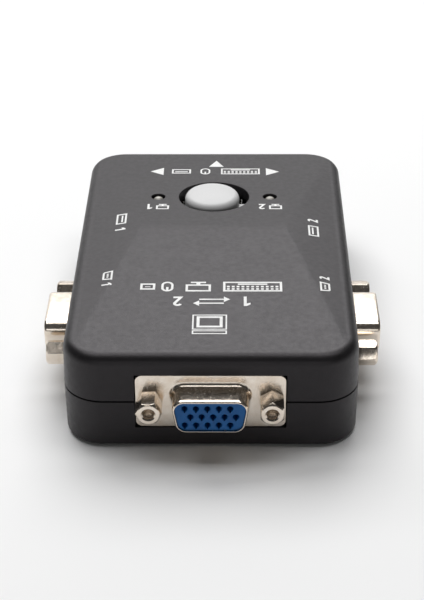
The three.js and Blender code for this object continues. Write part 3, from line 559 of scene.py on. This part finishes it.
def make_top_cover():
    """The hollow top, with its screw bosses, the button's guide and the lamps' seats."""
    rings = [case_outline(0.1, PART_Z + SEAM / 2), case_outline(0, PART_Z + SEAM / 2 + 0.1)]
    rim_lifts = [roof_lift(x, y) for x, y, _ in case_outline(RIM_INSET, 0)]
    steps = 14
    for i in range(steps + 1):
        angle = math.pi / 2 * i / steps
        ring = case_outline(RIM_INSET - EDGE * math.cos(angle), TOP_Z - EDGE * (1 - math.sin(angle)))
        rings.append([(x, y, z + math.sin(angle) * lift) for (x, y, z), lift in zip(ring, rim_lifts)])
    cover = merge(loft(rings + top_rings(), capped=False))
    room = combine(case_slab(WALL, PART_Z - 1, TOP_Z + 1), "INTERSECT", [under_roof(ROOF_THICK)])
    cut(cover, room)
    guide_z, boss_top_z = PAD_Z - 1.6, TOP_Z - 0.5
    guide_radius, guide_wall, lamp_seat_radius = 9.5, 0.9, 2.1
    bosses = [rod(3.3, PART_Z + 0.2, boss_top_z, x, y) for x, y in SCREW_SPOTS]
    bosses += [rod(lamp_seat_radius + 0.7, guide_z, boss_top_z, side * LAMP_X, BUTTON_Y) for side in (-1, 1)]
    bosses.append(rod(guide_radius + guide_wall, guide_z, boss_top_z, 0, BUTTON_Y, 72))
    add(cover, *bosses)
    cut(
        cover,
        case_slab(LIP_INSET - LIP_PLAY, PART_Z - 1, PART_Z + LIP_HEIGHT + 1.5 * LIP_PLAY),
        rod(guide_radius, guide_z - 1, PAD_Z, 0, BUTTON_Y, 72),
        *[rod(1.25, PART_Z - 1, PAD_Z - 1.4, x, y, 20) for x, y in SCREW_SPOTS],
        *[rod(lamp_seat_radius, guide_z - 1, PAD_Z, side * LAMP_X, BUTTON_Y) for side in (-1, 1)],
    )
    cut(
        cover,
        tilted_hole(0, BUTTON_Y, BUTTON_HOLE, 0.12),
        *[tilted_hole(side * LAMP_X, BUTTON_Y, LAMP_HOLE, 0.08) for side in (-1, 1)],
        *windows(),
    )
    finish_piece(cover, "top_cover_skin", "black_plastic", ["top_cover"], smooth=24)


def make_bottom_case():
    """The tray: a lip that goes up inside the top, screw pillars, and posts and pads for the board."""
    edge, steps = 0.5, 4
    rings = []
    for i in range(steps + 1):
        angle = math.pi / 2 * i / steps
        inset, lift = edge * (1 - math.sin(angle)), edge * (1 - math.cos(angle))
        rings.append(case_outline(DRAFT + inset, BASE_Z + lift))
    rings.append(case_outline(0, PART_Z - SEAM / 2 - 0.1))
    rings.append(case_outline(0.1, PART_Z - SEAM / 2))
    case = loft(rings)
    lip_z = PART_Z + LIP_HEIGHT
    add(case, case_slab(LIP_INSET, PART_Z - 1, lip_z))
    cut(case, case_slab(WALL, FLOOR_Z, PART_Z + 3))
    inner = case_slab(LIP_INSET, BASE_Z + 0.2, lip_z)
    columns = [rod(3.7, BASE_Z + 0.6, lip_z - 0.01, x, y) for x, y in SCREW_SPOTS]
    pillars = add(columns[0], *columns[1:])
    combine(pillars, "INTERSECT", [inner])
    post_low, post_high = FLOOR_Z - 0.5, BOARD_LOW.z
    supports = [block(x - 1.5, x + 1.5, y - 1.5, y + 1.5, post_low, post_high)
                for x in (-11, 11) for y in (-29, 33)]
    board_posts = [rod(2.6, post_low, post_high, side * BOARD_POST_X, BUTTON_Y) for side in (-1, 1)]
    add(case, pillars, *supports, *board_posts)
    head_z = box_of(f"case_screw_{CORNERS[0]}")[0].z + SCREW_HEAD_DEPTH
    foot_seat_z, board_screw_z = 1.4, 1.3
    cut(
        case,
        *[rod(1.6, BASE_Z, TOP_Z, x, y, 24) for x, y in SCREW_SPOTS],
        *[rod(2.7, BASE_Z - 1, head_z, x, y) for x, y in SCREW_SPOTS],
        *[rod(4.2, BASE_Z - 1, foot_seat_z, x, y, 48) for x, y in FOOT_SPOTS],
        *[rod(0.95, board_screw_z, TOP_Z, side * BOARD_POST_X, BUTTON_Y, 20) for side in (-1, 1)],
        *windows(),
    )
    finish_piece(case, "bottom_case_skin", "black_plastic", ["bottom_case"], smooth=24)


make_top_cover()
make_bottom_case()


# ------------ feet and case screws


def make_foot(corner, x, y):
    low, high = box_of(f"foot_{corner}")
    radius, top = (high.x - low.x) / 2, high.z
    profile = [(0, 0.15), (radius * 0.55, 0.08), (radius * 0.7, 0)]
    profile += arc(radius - 0.4, 0.4, 0.4, -90, 0, 6)
    profile += [(radius, top), (0, top)]
    foot = shifted(lathe(profile, 56), x, y)
    finish_piece(foot, f"foot_{corner}_pad", "black_rubber", [f"foot_{corner}"])


def cross(width, depth, z, slot=0.6):
    """The two bars that cut a crossed recess, upwards from z."""
    long, short = width / 2, slot / 2
    return [block(-x, x, -y, y, z, z + depth) for x, y in ((long, short), (short, long))]


def make_case_screw(corner, x, y):
    """A pan head with a crossed recess, and a ridged shank."""
    low, high = box_of(f"case_screw_{corner}")
    seat, root, crest, pitch = low.z + SCREW_HEAD_DEPTH, 0.85, 1.1, 0.9
    profile = [(0, low.z), (1.3, low.z), (1.75, seat - 1.85), (2.15, seat - 1.5), (2.36, seat - 1.1)]
    profile += [(2.4, seat - 0.7), (2.4, seat), (crest, seat)]
    thread_z, point_z = seat + 0.4, high.z - 1
    for i in range(int((point_z - thread_z) / pitch)):
        z = thread_z + i * pitch
        profile += [(root, z), (crest, z + pitch / 2)]
    profile += [(root, point_z), (0.4, high.z), (0, high.z)]
    screw = lathe(profile, 28)
    cut(screw, *cross(2.8, 1.3, low.z - 0.3))
    finish_piece(shifted(screw, x, y), f"case_screw_{corner}_fine", "zinc_steel", [f"case_screw_{corner}"])


# ------------ VGA sockets
# The 15-way D socket, at its standard sizes.

D_WIDTH, D_HEIGHT, D_CORNER, D_SLANT = 16.33, 7.9, 2.4, math.radians(10)
SHELL_LENGTH, SHELL_WALL = 6.0, 0.45
FLANGE_HALF_X, FLANGE_HALF_Z, FLANGE_THICK = 15.4, 6.25, 0.8
SCREW_X = 12.5
CONTACT_PITCH, ROW_PITCH = 2.29, 1.98


def d_outline(inset, y, steps=10):
    """The D outline of a VGA shell, drawn in by inset: wide side up, slanting sides, round corners."""
    low_lift = 0.2  # the lower side is drawn in a little more
    half = D_HEIGHT / 2 - inset
    radius = D_CORNER - inset
    middle = D_WIDTH / 2 - D_HEIGHT / 2 * math.tan(D_SLANT)

    def centre_x(z):
        return middle + z * math.tan(D_SLANT) - D_CORNER / math.cos(D_SLANT)

    ring = []
    for z, side, start, stop in (
        (half - radius, 1, -D_SLANT, math.pi / 2),
        (half - radius, -1, math.pi / 2, math.pi + D_SLANT),
        (radius - half + low_lift, -1, math.pi + D_SLANT, 1.5 * math.pi),
        (radius - half + low_lift, 1, 1.5 * math.pi, 2 * math.pi - D_SLANT),
    ):
        for i in range(steps + 1):
            angle = start + (stop - start) * i / steps
            ring.append((side * centre_x(z) + radius * math.cos(angle), y, z + radius * math.sin(angle)))
    return ring


def d_solid(*levels):
    """A D-shaped solid through (inset, y) levels, listed from the rear to the front."""
    return loft([d_outline(inset, y) for inset, y in levels])


def vga_shell():
    """A stamped flange, with the drawn shell flaring out of it to a rolled rim."""
    corner, edge, screw_hole = 1.5, 0.14, 1.55
    outline = rounded_rectangle(FLANGE_HALF_X, FLANGE_HALF_Z, corner)
    flange = soften(prism_y(outline, 0, FLANGE_THICK), edge, 3)
    flare_out, flare_along, rim_in, rim_along = 0.9, 1.15, 0.44, 0.8
    quarter = [math.pi / 16 * i for i in range(9)]
    flare = [(-flare_out * (1 - math.sin(a)), -flare_along * (1 - math.cos(a))) for a in quarter]
    rim = [(rim_in * (1 - math.cos(a)), -SHELL_LENGTH + rim_along * (1 - math.sin(a))) for a in quarter]
    tube = d_solid((-flare_out, 0.3), *flare, *rim)
    hole = d_solid((SHELL_WALL, FLANGE_THICK + 1), (SHELL_WALL, -SHELL_LENGTH - 1))
    add(flange, tube)
    screws = [rod_y(screw_hole, -1, FLANGE_THICK + 1, side * SCREW_X) for side in (-1, 1)]
    return cut(flange, hole, *screws)


def contact_spots():
    """Three rows of five, the middle one half a pitch along."""
    for row in (1, 0, -1):
        for i in range(5):
            yield (i - 2) * CONTACT_PITCH + (1 if row == 0 else -1) * CONTACT_PITCH / 4, row * ROW_PITCH


def vga_insulator():
    """The blue nose in the shell and the block behind it, with countersunk holes slit at the foot."""
    face, play = -SHELL_LENGTH + 0.4, 0.05
    inset = SHELL_WALL + play
    nose = d_solid((inset, 1.05), (inset, face + 0.12), (inset + 0.12, face))
    body = soften(block(-9.2, 9.2, 0.85, 8, -5.9, 5), 0.2, 2)
    add(nose, body)
    bore, mouth, depth = 0.6, 0.72, 3.8
    slit_half, slit_drop = 0.17, 0.95
    profile = [(0, -face - depth), (bore - 0.04, -face - depth + 0.2), (bore, -face - 0.12), (mouth, -face),
               (mouth, 1 - face), (0, 1 - face)]
    holes = []
    for x, z in contact_spots():
        holes.append(shifted(turned(lathe(profile, 28), 90, "X"), x, 0, z))
        holes.append(block(x - slit_half, x + slit_half, face - 0.5, face + 2.5, z - slit_drop, z))
    web = block(-6.9, 6.9, 7.2, 9, -2.9, 2.9)
    return cut(nose, web, *holes)


def jack_screw(twist):
    """A hexagonal standoff with a chamfered nose and a threaded hole, on the stud that holds the flange."""
    flat, length = 4.75 / 2, 5.0
    corner = flat / math.cos(math.pi / 6)
    turns_of_hexagon = [math.radians(twist + 60 * i) for i in range(6)]
    body = prism_y([(corner * math.cos(a), corner * math.sin(a)) for a in turns_of_hexagon], -length, 0)
    nose = [(0, 0), (corner + 0.1, 0), (corner + 0.1, length - 0.72), (flat - 0.12, length - 0.06),
            (flat - 0.22, length), (0, length)]
    combine(body, "INTERSECT", [turned(lathe(nose, 72), 90, "X")])
    soften(body, 0.06, 2, 25)
    pitch, depth, crest, root = 0.635, 4.1, 1.18, 1.4
    thread = [(0, length - depth), (1.15, length - depth)]
    for i in range(int((depth - 0.35) / pitch)):
        z = length - depth + 0.1 + i * pitch
        thread += [(crest, z + 0.1), (root, z + pitch / 2), (crest, z + pitch - 0.1)]
    thread += [(1.2, length - 0.3), (1.5, length - 0.02), (1.5, length + 1), (0, length + 1)]
    cut(body, turned(lathe(thread, 40), 90, "X"))
    return add(body, rod_y(1.35, -0.4, 6, sides=28))


def fit_to_wall(shape, node, slot, place, degrees, smooth=32):
    """Turns a part drawn looking out along -Y to its wall, in place of its CAD node."""
    placed = shifted(turned(shape, degrees, "Z"), *place)
    finish_piece(placed, f"{node}_fine", slot, [node], smooth=smooth)


def make_vga_socket(name, degrees, place, twists):
    """A socket whose two jack screws stand turned by twists, as they happened to be tightened."""
    fit_to_wall(vga_shell(), f"{name}_shell", "bright_nickel", place, degrees)
    fit_to_wall(vga_insulator(), f"{name}_insulator", "blue_plastic", place, degrees)
    for side, hand, twist in ((-1, "left", twists[0]), (1, "right", twists[1])):
        screw = shifted(jack_screw(twist), side * SCREW_X)
        fit_to_wall(screw, f"{name}_jack_screw_{hand}", "bright_nickel", place, degrees, smooth=28)


# ------------ USB sockets


def leaf(x, half_x, z, inward, y0, y1, thick=0.28):
    """A contact spring cut free in a shell's wall at height z, bent in by inward towards its front end y0."""
    steps = 8
    rings = []
    for i in range(steps + 1):
        share = i / steps
        y = y0 + (y1 - y0) * share
        bend = inward * math.sin(min(1, (1 - share) * 1.45) * math.pi / 2) * (1 if share > 0.12 else 0.72)
        low, high = z + bend - thick / 2, z + bend + thick / 2
        x0, x1 = x - half_x, x + half_x
        rings.append([(x0, y, low), (x0, y, high), (x1, y, high), (x1, y, low)])
    return loft(rings)


def usb_shell(size, corner, inner_corner, edge, leg_y, tail_length):
    """A folded box, open in front, with legs over the stretch leg_y, and a cutter for its lower rear."""
    half_x, half_z, depth, wall = size["width"] / 2, size["height"] / 2, size["depth"], size["wall"]
    outer = soften(prism_y(rounded_rectangle(half_x, half_z, corner, 6), 0, depth), edge, 2, 50)
    cut(outer, prism_y(rounded_rectangle(half_x - wall, half_z - wall, inner_corner, 6), -1, depth - wall))
    legs = []
    for side in (-1, 1):
        middle = side * (half_x - wall / 2)
        legs.append(block(middle - wall / 2, middle + wall / 2, *leg_y, -size["lift"], 0))
    add(outer, *legs)
    tail_top = -half_z + wall + 0.1
    tail = block(-half_x + 1, half_x - 1, depth - tail_length, depth + 1, -size["height"], tail_top)
    return outer, tail


def usb_a_shell():
    """The type A shell, with two contact springs above and two below."""
    outer, tail = usb_shell(USB_A, 0.8, 0.5, 0.07, (8, 10), 3)
    half_z, wall = USB_A["height"] / 2, USB_A["wall"]
    spring_half, slot_half, slot_reach, bend = 0.9, 1.25, 0.6, 0.42
    slots, springs = [], []
    for side in (-1, 1):
        z = side * half_z
        for x in (-3.2, 3.2):
            slots.append(block(x - slot_half, x + slot_half, 2.3, 7.3, z - slot_reach, z + slot_reach))
            springs.append(leaf(x, spring_half, z - side * wall / 2, -side * bend, 2.7, 7.5))
    cut(outer, *slots, tail)
    return add(outer, *springs)


def usb_a_tongue():
    """The white tongue with its four contact channels, and the block that it grows from."""
    depth = USB_A["depth"]
    play = USB_A["wall"] + 0.05
    tongue_thick, channel_half, channel_deep = 1.84, 0.6, 0.35
    tongue = soften(block(-5.5, 5.5, 0.9, 10.8, 0, tongue_thick), 0.18, 2)
    outline = rounded_rectangle(USB_A["width"] / 2 - play, USB_A["height"] / 2 - play, 0.5)
    add(tongue, prism_y(outline, 9.8, depth - play))
    channels = [block(x - channel_half, x + channel_half, 1.6, depth, -0.1, channel_deep)
                for x in (-3.5, -1, 1, 3.5)]
    tail_room = block(-4.4, 4.4, depth - 2.7, depth, -USB_A["height"], channel_deep)
    return cut(tongue, tail_room, *channels)


def make_usb_a_socket(name):
    place = (middle_of(f"{name}_shell")[0], REAR_Y, BOARD_Z + USB_A["lift"])
    fit_to_wall(usb_a_shell(), f"{name}_shell", "bright_nickel", place, 180)
    fit_to_wall(usb_a_tongue(), f"{name}_tongue", "white_plastic", place, 180)


def usb_b_shell():
    outer, tail = usb_shell(USB_B, 0.7, 0.4, 0.08, (9, 11.5), 5)
    return cut(outer, tail)


def usb_b_housing():
    """The white block, with a mouth cut off at its two upper corners and a square post in it."""
    depth = USB_B["depth"]
    play = USB_B["wall"] + 0.05
    outline = rounded_rectangle(USB_B["width"] / 2 - play, USB_B["height"] / 2 - play, 0.45, 4)
    body = soften(prism_y(outline, 0.2, depth - 4), 0.1, 2, 50)
    half_x, half_z, bevel = 4.25, 3.9, 1.9
    mouth = [(-half_x, -half_z), (half_x, -half_z), (half_x, half_z - bevel), (half_x - bevel, half_z),
             (bevel - half_x, half_z), (-half_x, half_z - bevel)]
    cut(body, soften(prism_y(mouth, -1, 9.4), 0.15, 2))
    post_half_x, post_half_z = 2.8, 1.6
    add(body, soften(block(-post_half_x, post_half_x, 1, 10.4, -post_half_z, post_half_z), 0.2, 2))
    channel_half, channel_low, channel_high = 0.55, 1.2, 1.65
    channels = []
    for side in (-1, 1):
        low, high = sorted((side * channel_low, side * channel_high))
        channels += [block(x - channel_half, x + channel_half, 1.8, depth, low, high) for x in (-1.25, 1.25)]
    return cut(body, *channels)


def make_usb_b_socket(name, side):
    place = (side * SIDE_X, middle_of(f"{name}_shell")[1], BOARD_Z + USB_B["lift"])
    fit_to_wall(usb_b_shell(), f"{name}_shell", "bright_nickel", place, side * 90)
    fit_to_wall(usb_b_housing(), f"{name}_housing", "white_plastic", place, side * 90)


# ------------ select button, spring and lamps

CAP_X = -0.45
CAP_RADIUS, CAP_RIM_Z, CAP_EDGE, CAP_CROWN = 6.38, TOP_Z + 0.575, 1.5, 0.6


def make_button_cap():
    """A domed cap with three lugs that catch under the top, riding on the switch's plunger."""
    slope = math.radians(15)  # of the crown where it meets the rounded edge
    skirt_z = CAP_FOOT_Z + 2.6
    inner_radius, stem_radius, stem_hole = CAP_RADIUS - 1.4, 3, 1.7
    profile = [(0, CAP_FOOT_Z), (stem_radius, CAP_FOOT_Z), (stem_radius, CAP_RIM_Z - 0.6),
               (inner_radius, CAP_RIM_Z - 0.9), (inner_radius, skirt_z), (CAP_RADIUS, skirt_z)]
    edge_steps, crown_steps = 10, 16
    for i in range(edge_steps + 1):
        angle = (math.pi / 2 - slope) * i / edge_steps
        radius = CAP_RADIUS - CAP_EDGE * (1 - math.cos(angle))
        profile.append((radius, CAP_RIM_Z + CAP_EDGE * math.sin(angle)))
    crown_radius, crown_z = profile[-1]
    for i in range(1, crown_steps + 1):
        share = 1 - i / crown_steps
        profile.append((crown_radius * share, crown_z + CAP_CROWN * (1 - share * share)))
    cap = lathe(profile, 96)
    lug_half, lug_reach = 0.9, 2.35
    lugs = []
    for degrees in (5, 125, 245):
        lug = block(CAP_RADIUS - 0.8, CAP_RADIUS + lug_reach, -lug_half, lug_half, skirt_z, PAD_Z - 0.1)
        lugs.append(soften(turned(lug, degrees, "Z"), 0.12, 2))
    add(cap, *lugs)
    hole_top = box_of("switch_plunger")[1].z + 0.15
    cut(cap, block(-stem_hole, stem_hole, -stem_hole, stem_hole, CAP_FOOT_Z - 1, hole_top))
    shifted(cap, CAP_X, BUTTON_Y)
    finish_piece(cap, "select_button_cap_fine", "silver_plastic", ["select_button_cap"], "button", smooth=30)


def make_spring():
    """The return spring, three turns of round wire."""
    low, high = box_of("switch_spring")
    wire, turns = 0.2, 3
    coil = shifted(helix(1.75, wire, turns, low.z + wire, high.z - wire), CAP_X, BUTTON_Y)
    spring = finish_piece(coil, "switch_spring_fine", "zinc_steel", ["switch_spring"])
    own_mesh(spring)


def make_lens(lamp, side):
    """A round-nosed lamp on its flange."""
    low, high = box_of(f"{lamp}_lens")
    radius, flange_radius, flange_z = 1.42, 1.9, low.z + 0.9
    profile = [(0, low.z), (flange_radius, low.z), (flange_radius, flange_z), (radius, flange_z)]
    profile += arc(0, high.z - radius, radius, 0, 90, 10)[:-1] + [(0, high.z)]
    lens = shifted(lathe(profile, 40), side * LAMP_X, BUTTON_Y)
    finish_piece(lens, f"{lamp}_lens_fine", "lamp_epoxy", [f"{lamp}_lens"])


# ------------ printed marks
# Marks are drawn upright in (u, v). Turned by 180 degrees, they face someone at the console end.

INK_UNDER, INK_OVER = 0.03, 0.012
CONSOLE_Y = 37.8


def stroke(points, line):
    """A bent stroke as one outline, with mitred corners."""
    points = [Vector(p) for p in points]
    left, right = [], []
    for i, point in enumerate(points):
        before = (point - points[i - 1]).normalized() if i else (points[1] - point).normalized()
        after = (points[i + 1] - point).normalized() if i + 1 < len(points) else before
        normal = Vector((-(before + after).y, (before + after).x)).normalized()
        reach = line / 2 / max(0.5, normal.dot(Vector((-before.y, before.x))))
        left.append(point + normal * reach)
        right.append(point - normal * reach)
    return right + left[::-1]


def frame_strokes(u0, u1, v0, v1, line):
    """A rectangle's outline as four strips that meet edge to edge."""
    return [
        rectangle(u0, u1, v0, v0 + line), rectangle(u0, u1, v1 - line, v1),
        rectangle(u0, u0 + line, v0 + line, v1 - line), rectangle(u1 - line, u1, v0 + line, v1 - line),
    ]


def rectangle(u0, u1, v0, v1):
    return [(u0, v0), (u1, v0), (u1, v1), (u0, v1)]


def numeral(digit, u, v, height, line):
    """The numeral 1 or 2, with its lower left corner at (u, v)."""
    if digit == 1:
        top, stem = v + height, u + 0.22 * height
        return [[(u, top - line), (stem, top), (stem + line, top), (stem + line, v),
                 (stem, v), (stem, top - 1.5 * line), (u, top - 2 * line)]]
    radius = 0.26 * height - line / 2
    bowl = arc(u + radius + line / 2, v + height - radius - line / 2, radius, 165, -40, 12)
    return [stroke(bowl + [(u + line / 2, v + line / 2), (u + 2 * radius + line, v + line / 2)], line)]


def monitor_icon(u, v, width, height, line):
    """A screen on its stand."""
    screen = v + 0.28 * height
    return frame_strokes(u, u + width, screen, v + height, line) + [
        rectangle(u + 0.42 * width, u + 0.58 * width, v + line, screen),
        rectangle(u + 0.2 * width, u + 0.8 * width, v, v + line),
    ]


def keyboard_icon(u, v, width, height, line):
    """A keyboard with two rows of keys and a space bar."""
    marks = frame_strokes(u, u + width, v, v + height, line)
    step_v = (height - 2 * line) / 3
    key = 0.62 * step_v
    count = int((width - 2.6 * line) / (1.7 * key))
    step_u = (width - 2.4 * line) / count
    for row in (1, 2):
        for i in range(count):
            key_u = u + 1.2 * line + (i + 0.5) * step_u - key / 2
            key_v = v + line + (row + 0.5) * step_v - key / 2
            marks.append(rectangle(key_u, key_u + key, key_v, key_v + key))
    bar_v = v + line + 0.2 * step_v
    marks.append(rectangle(u + 0.25 * width, u + 0.75 * width, bar_v, bar_v + 0.55 * step_v))
    return marks


def mouse_icon(u, v, width, height, line):
    """A mouse seen from above, with its wheel."""
    radius = width / 2 - line / 2
    middle, low, high = u + width / 2, v + width / 2, v + height - width / 2
    body = arc(middle, high, radius, 0, 180, 12) + arc(middle, low, radius, 180, 360, 12)
    wheel = rectangle(middle - line / 2, middle + line / 2, high - 0.1 * height, high + radius - line / 2)
    return [stroke(body + [body[0]], line), wheel]


def port_icon(u, v, width, height, line):
    """A flat plug seen end on."""
    return frame_strokes(u, u + width, v, v + height, line) + [
        rectangle(u + 2 * line, u + width - 2 * line, v + height / 2, v + height - 2 * line)
    ]


def d_port_icon(u, v, width, height, line):
    """A D-shaped socket with a row of contacts."""
    slant = 0.14 * width
    half = line / 2
    shape = [(u + slant, v + half), (u + width - slant, v + half), (u + width - half, v + height - half),
             (u + half, v + height - half), (u + slant, v + half)]
    middle = v + height / 2
    dots = [rectangle(u + width * k - half, u + width * k + half, middle - half, middle + half)
            for k in (0.34, 0.5, 0.66)]
    return [stroke(shape, line), *dots]


def drape(flat, step=0.8):
    """Cuts a flat mark, from z 0 to 1, on a grid, and lays it on the top as a thin film."""
    work = bmesh.new()
    work.from_mesh(flat.data)
    bmesh.ops.triangulate(work, faces=work.faces[:])
    for axis in (0, 1):
        places = [v.co[axis] for v in work.verts]
        normal = Vector((1 - axis, axis, 0))
        for i in range(math.ceil(min(places) / step), math.ceil(max(places) / step)):
            everything = work.verts[:] + work.edges[:] + work.faces[:]
            place = normal * i * step
            bmesh.ops.bisect_plane(work, geom=everything, dist=1e-5, plane_co=place, plane_no=normal)
    for vertex in work.verts:
        ink = INK_OVER if vertex.co.z > 0.5 else -INK_UNDER
        vertex.co.z = top_height(vertex.co.x, vertex.co.y) + ink
    work.to_mesh(flat.data)
    work.free()
    return flat


def print_mark(name, outlines, x, y, degrees=180):
    """Lays flat outlines on the top at (x, y), turned by degrees, as raised ink."""
    spin = Matrix.Rotation(math.radians(degrees), 2)
    points, faces = [], []
    for outline in outlines:
        ring = [spin @ Vector(p) + Vector((x, y)) for p in outline]
        if sum(a.x * b.y - b.x * a.y for a, b in zip(ring, ring[1:] + ring[:1])) < 0:
            ring.reverse()
        first, count = len(points), len(ring)
        points += [(p.x, p.y, z) for z in (0, 1) for p in ring]
        faces.append(tuple(first + i for i in reversed(range(count))))
        faces.append(tuple(first + count + i for i in range(count)))
        for i in range(count):
            j = (i + 1) % count
            faces.append((first + i, first + j, first + count + j, first + count + i))
    finish_piece(drape(new_object(points, faces)), name, "white_print", None, smooth=30)


def print_arrowheads():
    """Three arrowheads round the console marks, one to each side and one to the rear."""
    along = 3.2
    arrow = [[(0, 0), (along, 2.15), (along, -2.15)]]
    print_mark("print_arrow_left", arrow, -15.6, CONSOLE_Y, 0)
    print_mark("print_arrow_right", arrow, 15.6, CONSOLE_Y - 0.2)
    print_mark("print_arrow_rear", [[(0, 0), (-1.8, -3.7), (1.8, -3.7)]], 0.35, 44.3, 0)


def print_console():
    """What plugs in at the rear: a keyboard, a mouse and a USB plug."""
    line = 0.4
    marks = keyboard_icon(-10.6, -1.7, 9.4, 3.4, line)
    marks += mouse_icon(1.4, -1.75, 2.4, 3.5, line)
    marks += port_icon(6.1, -1.25, 4.6, 2.5, line)
    print_mark("print_console", marks, 0.3, CONSOLE_Y)


def print_computer_marks():
    """A numbered mark by each lamp, USB socket and VGA socket of the two computers."""
    line, thick = 0.42, 0.5
    usb = port_icon(-4.3, -1.2, 4.8, 2.4, line)
    vga = d_port_icon(-3.4, -1.1, 3.8, 2.2, line)
    for side, digit in ((-1, 1), (1, 2)):
        marks = monitor_icon(-2.7, -1.4, 3.0, 2.8, line) + numeral(digit, 1.2, -1.4, 2.8, thick)
        print_mark(f"print_lamp_{digit}", marks, side * 13.1, 17.5)
    for digit, place, degrees in ((1, (-21.1, 10.0), -90), (2, (22.7, 8.6), 90)):
        print_mark(f"print_usb_{digit}", usb + numeral(digit, 2.4, -1.2, 2.4, thick), *place, degrees)
    for digit, place, degrees in ((1, (-22.6, -15.1), -90), (2, (24.2, -16.3), 90)):
        print_mark(f"print_vga_{digit}", vga + numeral(digit, 1.6, -1.1, 2.2, 0.46), *place, degrees)


def print_heading():
    """The two lines of the heading: what is shared, and that it is exchanged between 1 and 2."""
    line = 0.5
    marks = keyboard_icon(-15, -1.9, 12.6, 3.8, line) + monitor_icon(0.2, -1.9, 5.4, 3.8, line)
    marks += mouse_icon(8.2, -1.9, 2.6, 3.8, line) + port_icon(12.1, -1.2, 3.2, 2.4, line)
    print_mark("print_heading", marks, 0, -18.3)
    arrows = [rectangle(-2.6, 2.6, 0.54, 0.96), rectangle(-2.6, 2.6, -0.96, -0.54),
              [(3.9, 0.75), (2.6, 1.75), (2.6, -0.25)], [(-3.9, -0.75), (-2.6, -1.75), (-2.6, 0.25)]]
    digits = numeral(1, -8.2, -1.8, 3.6, 0.62) + numeral(2, 6.2, -1.8, 3.6, 0.62)
    print_mark("print_exchange", digits + arrows, 0, -24.0)


def print_screen():
    """A screen with a thick bezel, over its base."""
    thin, bezel = 0.3, 0.62
    marks = frame_strokes(-3.6, 3.6, -1.9, 3.6, thin) + frame_strokes(-2.7, 2.7, -1.1, 3.0, bezel)
    print_mark("print_screen", marks + frame_strokes(-3.6, 3.6, -3.5, -2.2, thin), -0.3, -32.7, 0)


# ------------ making the pieces

FLANGE_BACK = 0.3  # how far a VGA flange is let into its wall
SIDE_VGA_Y = middle_of("pc2_vga_port_shell")[1]

for corner, screw_spot, foot_spot in zip(CORNERS, SCREW_SPOTS, FOOT_SPOTS):
    make_case_screw(corner, *screw_spot)
    make_foot(corner, *foot_spot)
make_vga_socket("monitor_port", 0, (0, FRONT_Y + FLANGE_BACK, VGA_Z), (2, 31))
make_vga_socket("pc1_vga_port", -90, (FLANGE_BACK - SIDE_X, SIDE_VGA_Y, VGA_Z), (14, -35))
make_vga_socket("pc2_vga_port", 90, (SIDE_X - FLANGE_BACK, SIDE_VGA_Y, VGA_Z), (4, 49))
for port in USB_A_PORTS:
    make_usb_a_socket(port)
for port, side in zip(USB_B_PORTS, (-1, 1)):
    make_usb_b_socket(port, side)
make_button_cap()
make_spring()
make_lens("pc1_lamp", -1)
make_lens("pc2_lamp", 1)
print_arrowheads()
print_console()
print_computer_marks()
print_heading()
print_screen()


# ------------ floor, light, camera


def floor_material():
    look = Look("floor", (0.86, 0.86, 0.86), 0.6)
    look.colours(look.noise(120, 2), (0.85, 0.85, 0.85), (0.87, 0.87, 0.87))
    return look.material


def make_floor():
    half = 3.0
    points = [(-half, -half, 0), (half, -half, 0), (half, half, 0), (-half, half, 0)]
    floor = new_object(points, [(0, 1, 2, 3)], "floor")
    floor.data.materials.append(floor_material())


def softbox(name, place, width, height, watts):
    """A rectangular light that faces the middle of the floor."""
    light = bpy.data.lights.new(name, "AREA")
    light.shape = "RECTANGLE"
    light.size, light.size_y = width, height
    light.energy = watts
    made = bpy.data.objects.new(name, light)
    made.location = place
    made.rotation_mode = "QUATERNION"
    made.rotation_quaternion = (-Vector(place)).to_track_quat("-Z", "Y")
    bpy.context.scene.collection.objects.link(made)


def make_light():
    """Soft lights behind the object, one high and one low, a third overhead and a faint low one in front."""
    softbox("light_rear", (-0.15, 0.76, 1.0), 1.2, 0.8, 13)
    softbox("light_backdrop", (-0.13, 1.3, 0.57), 1.9, 1.05, 5.6)
    softbox("light_overhead", (0, 0.08, 1.25), 1.5, 0.4, 7)
    softbox("light_front", (0, -1.5, 0.42), 1.8, 0.25, 2.5)
    world = bpy.data.worlds.new("studio")
    world.use_nodes = True
    background = world.node_tree.nodes["Background"]
    background.inputs["Color"].default_value = (1, 1, 1, 1)
    background.inputs["Strength"].default_value = 0.05
    bpy.context.scene.world = world


def make_camera():
    """The photographer stood over the monitor socket, a little to the right of the middle."""
    place = Vector((5.08, -321.3, 200.9)) * MM
    heading, pitch, roll = -0.96, 30.87, -0.455
    data = bpy.data.cameras.new("camera")
    data.lens = 98.74
    data.sensor_width = 36
    data.clip_start, data.clip_end = 0.02, 20
    camera = bpy.data.objects.new("camera", data)
    camera.matrix_world = (
        Matrix.Translation(place)
        @ Matrix.Rotation(math.radians(-heading), 4, "Z")
        @ Matrix.Rotation(math.radians(90 - pitch), 4, "X")
        @ Matrix.Rotation(math.radians(roll), 4, "Z")
    )
    bpy.context.scene.collection.objects.link(camera)
    bpy.context.scene.camera = camera


make_floor()
make_light()
make_camera()
bpy.context.scene.view_settings.view_transform = "Standard"

SLOTS = {part["node"]: part["material_slot"] for part in frame["record"]["subparts"]}
for node in frame["nodes"].values():
    if not node.hide_render:
        node.data.materials.clear()
        node.data.materials.append(MATERIALS[SLOTS[node.name]])
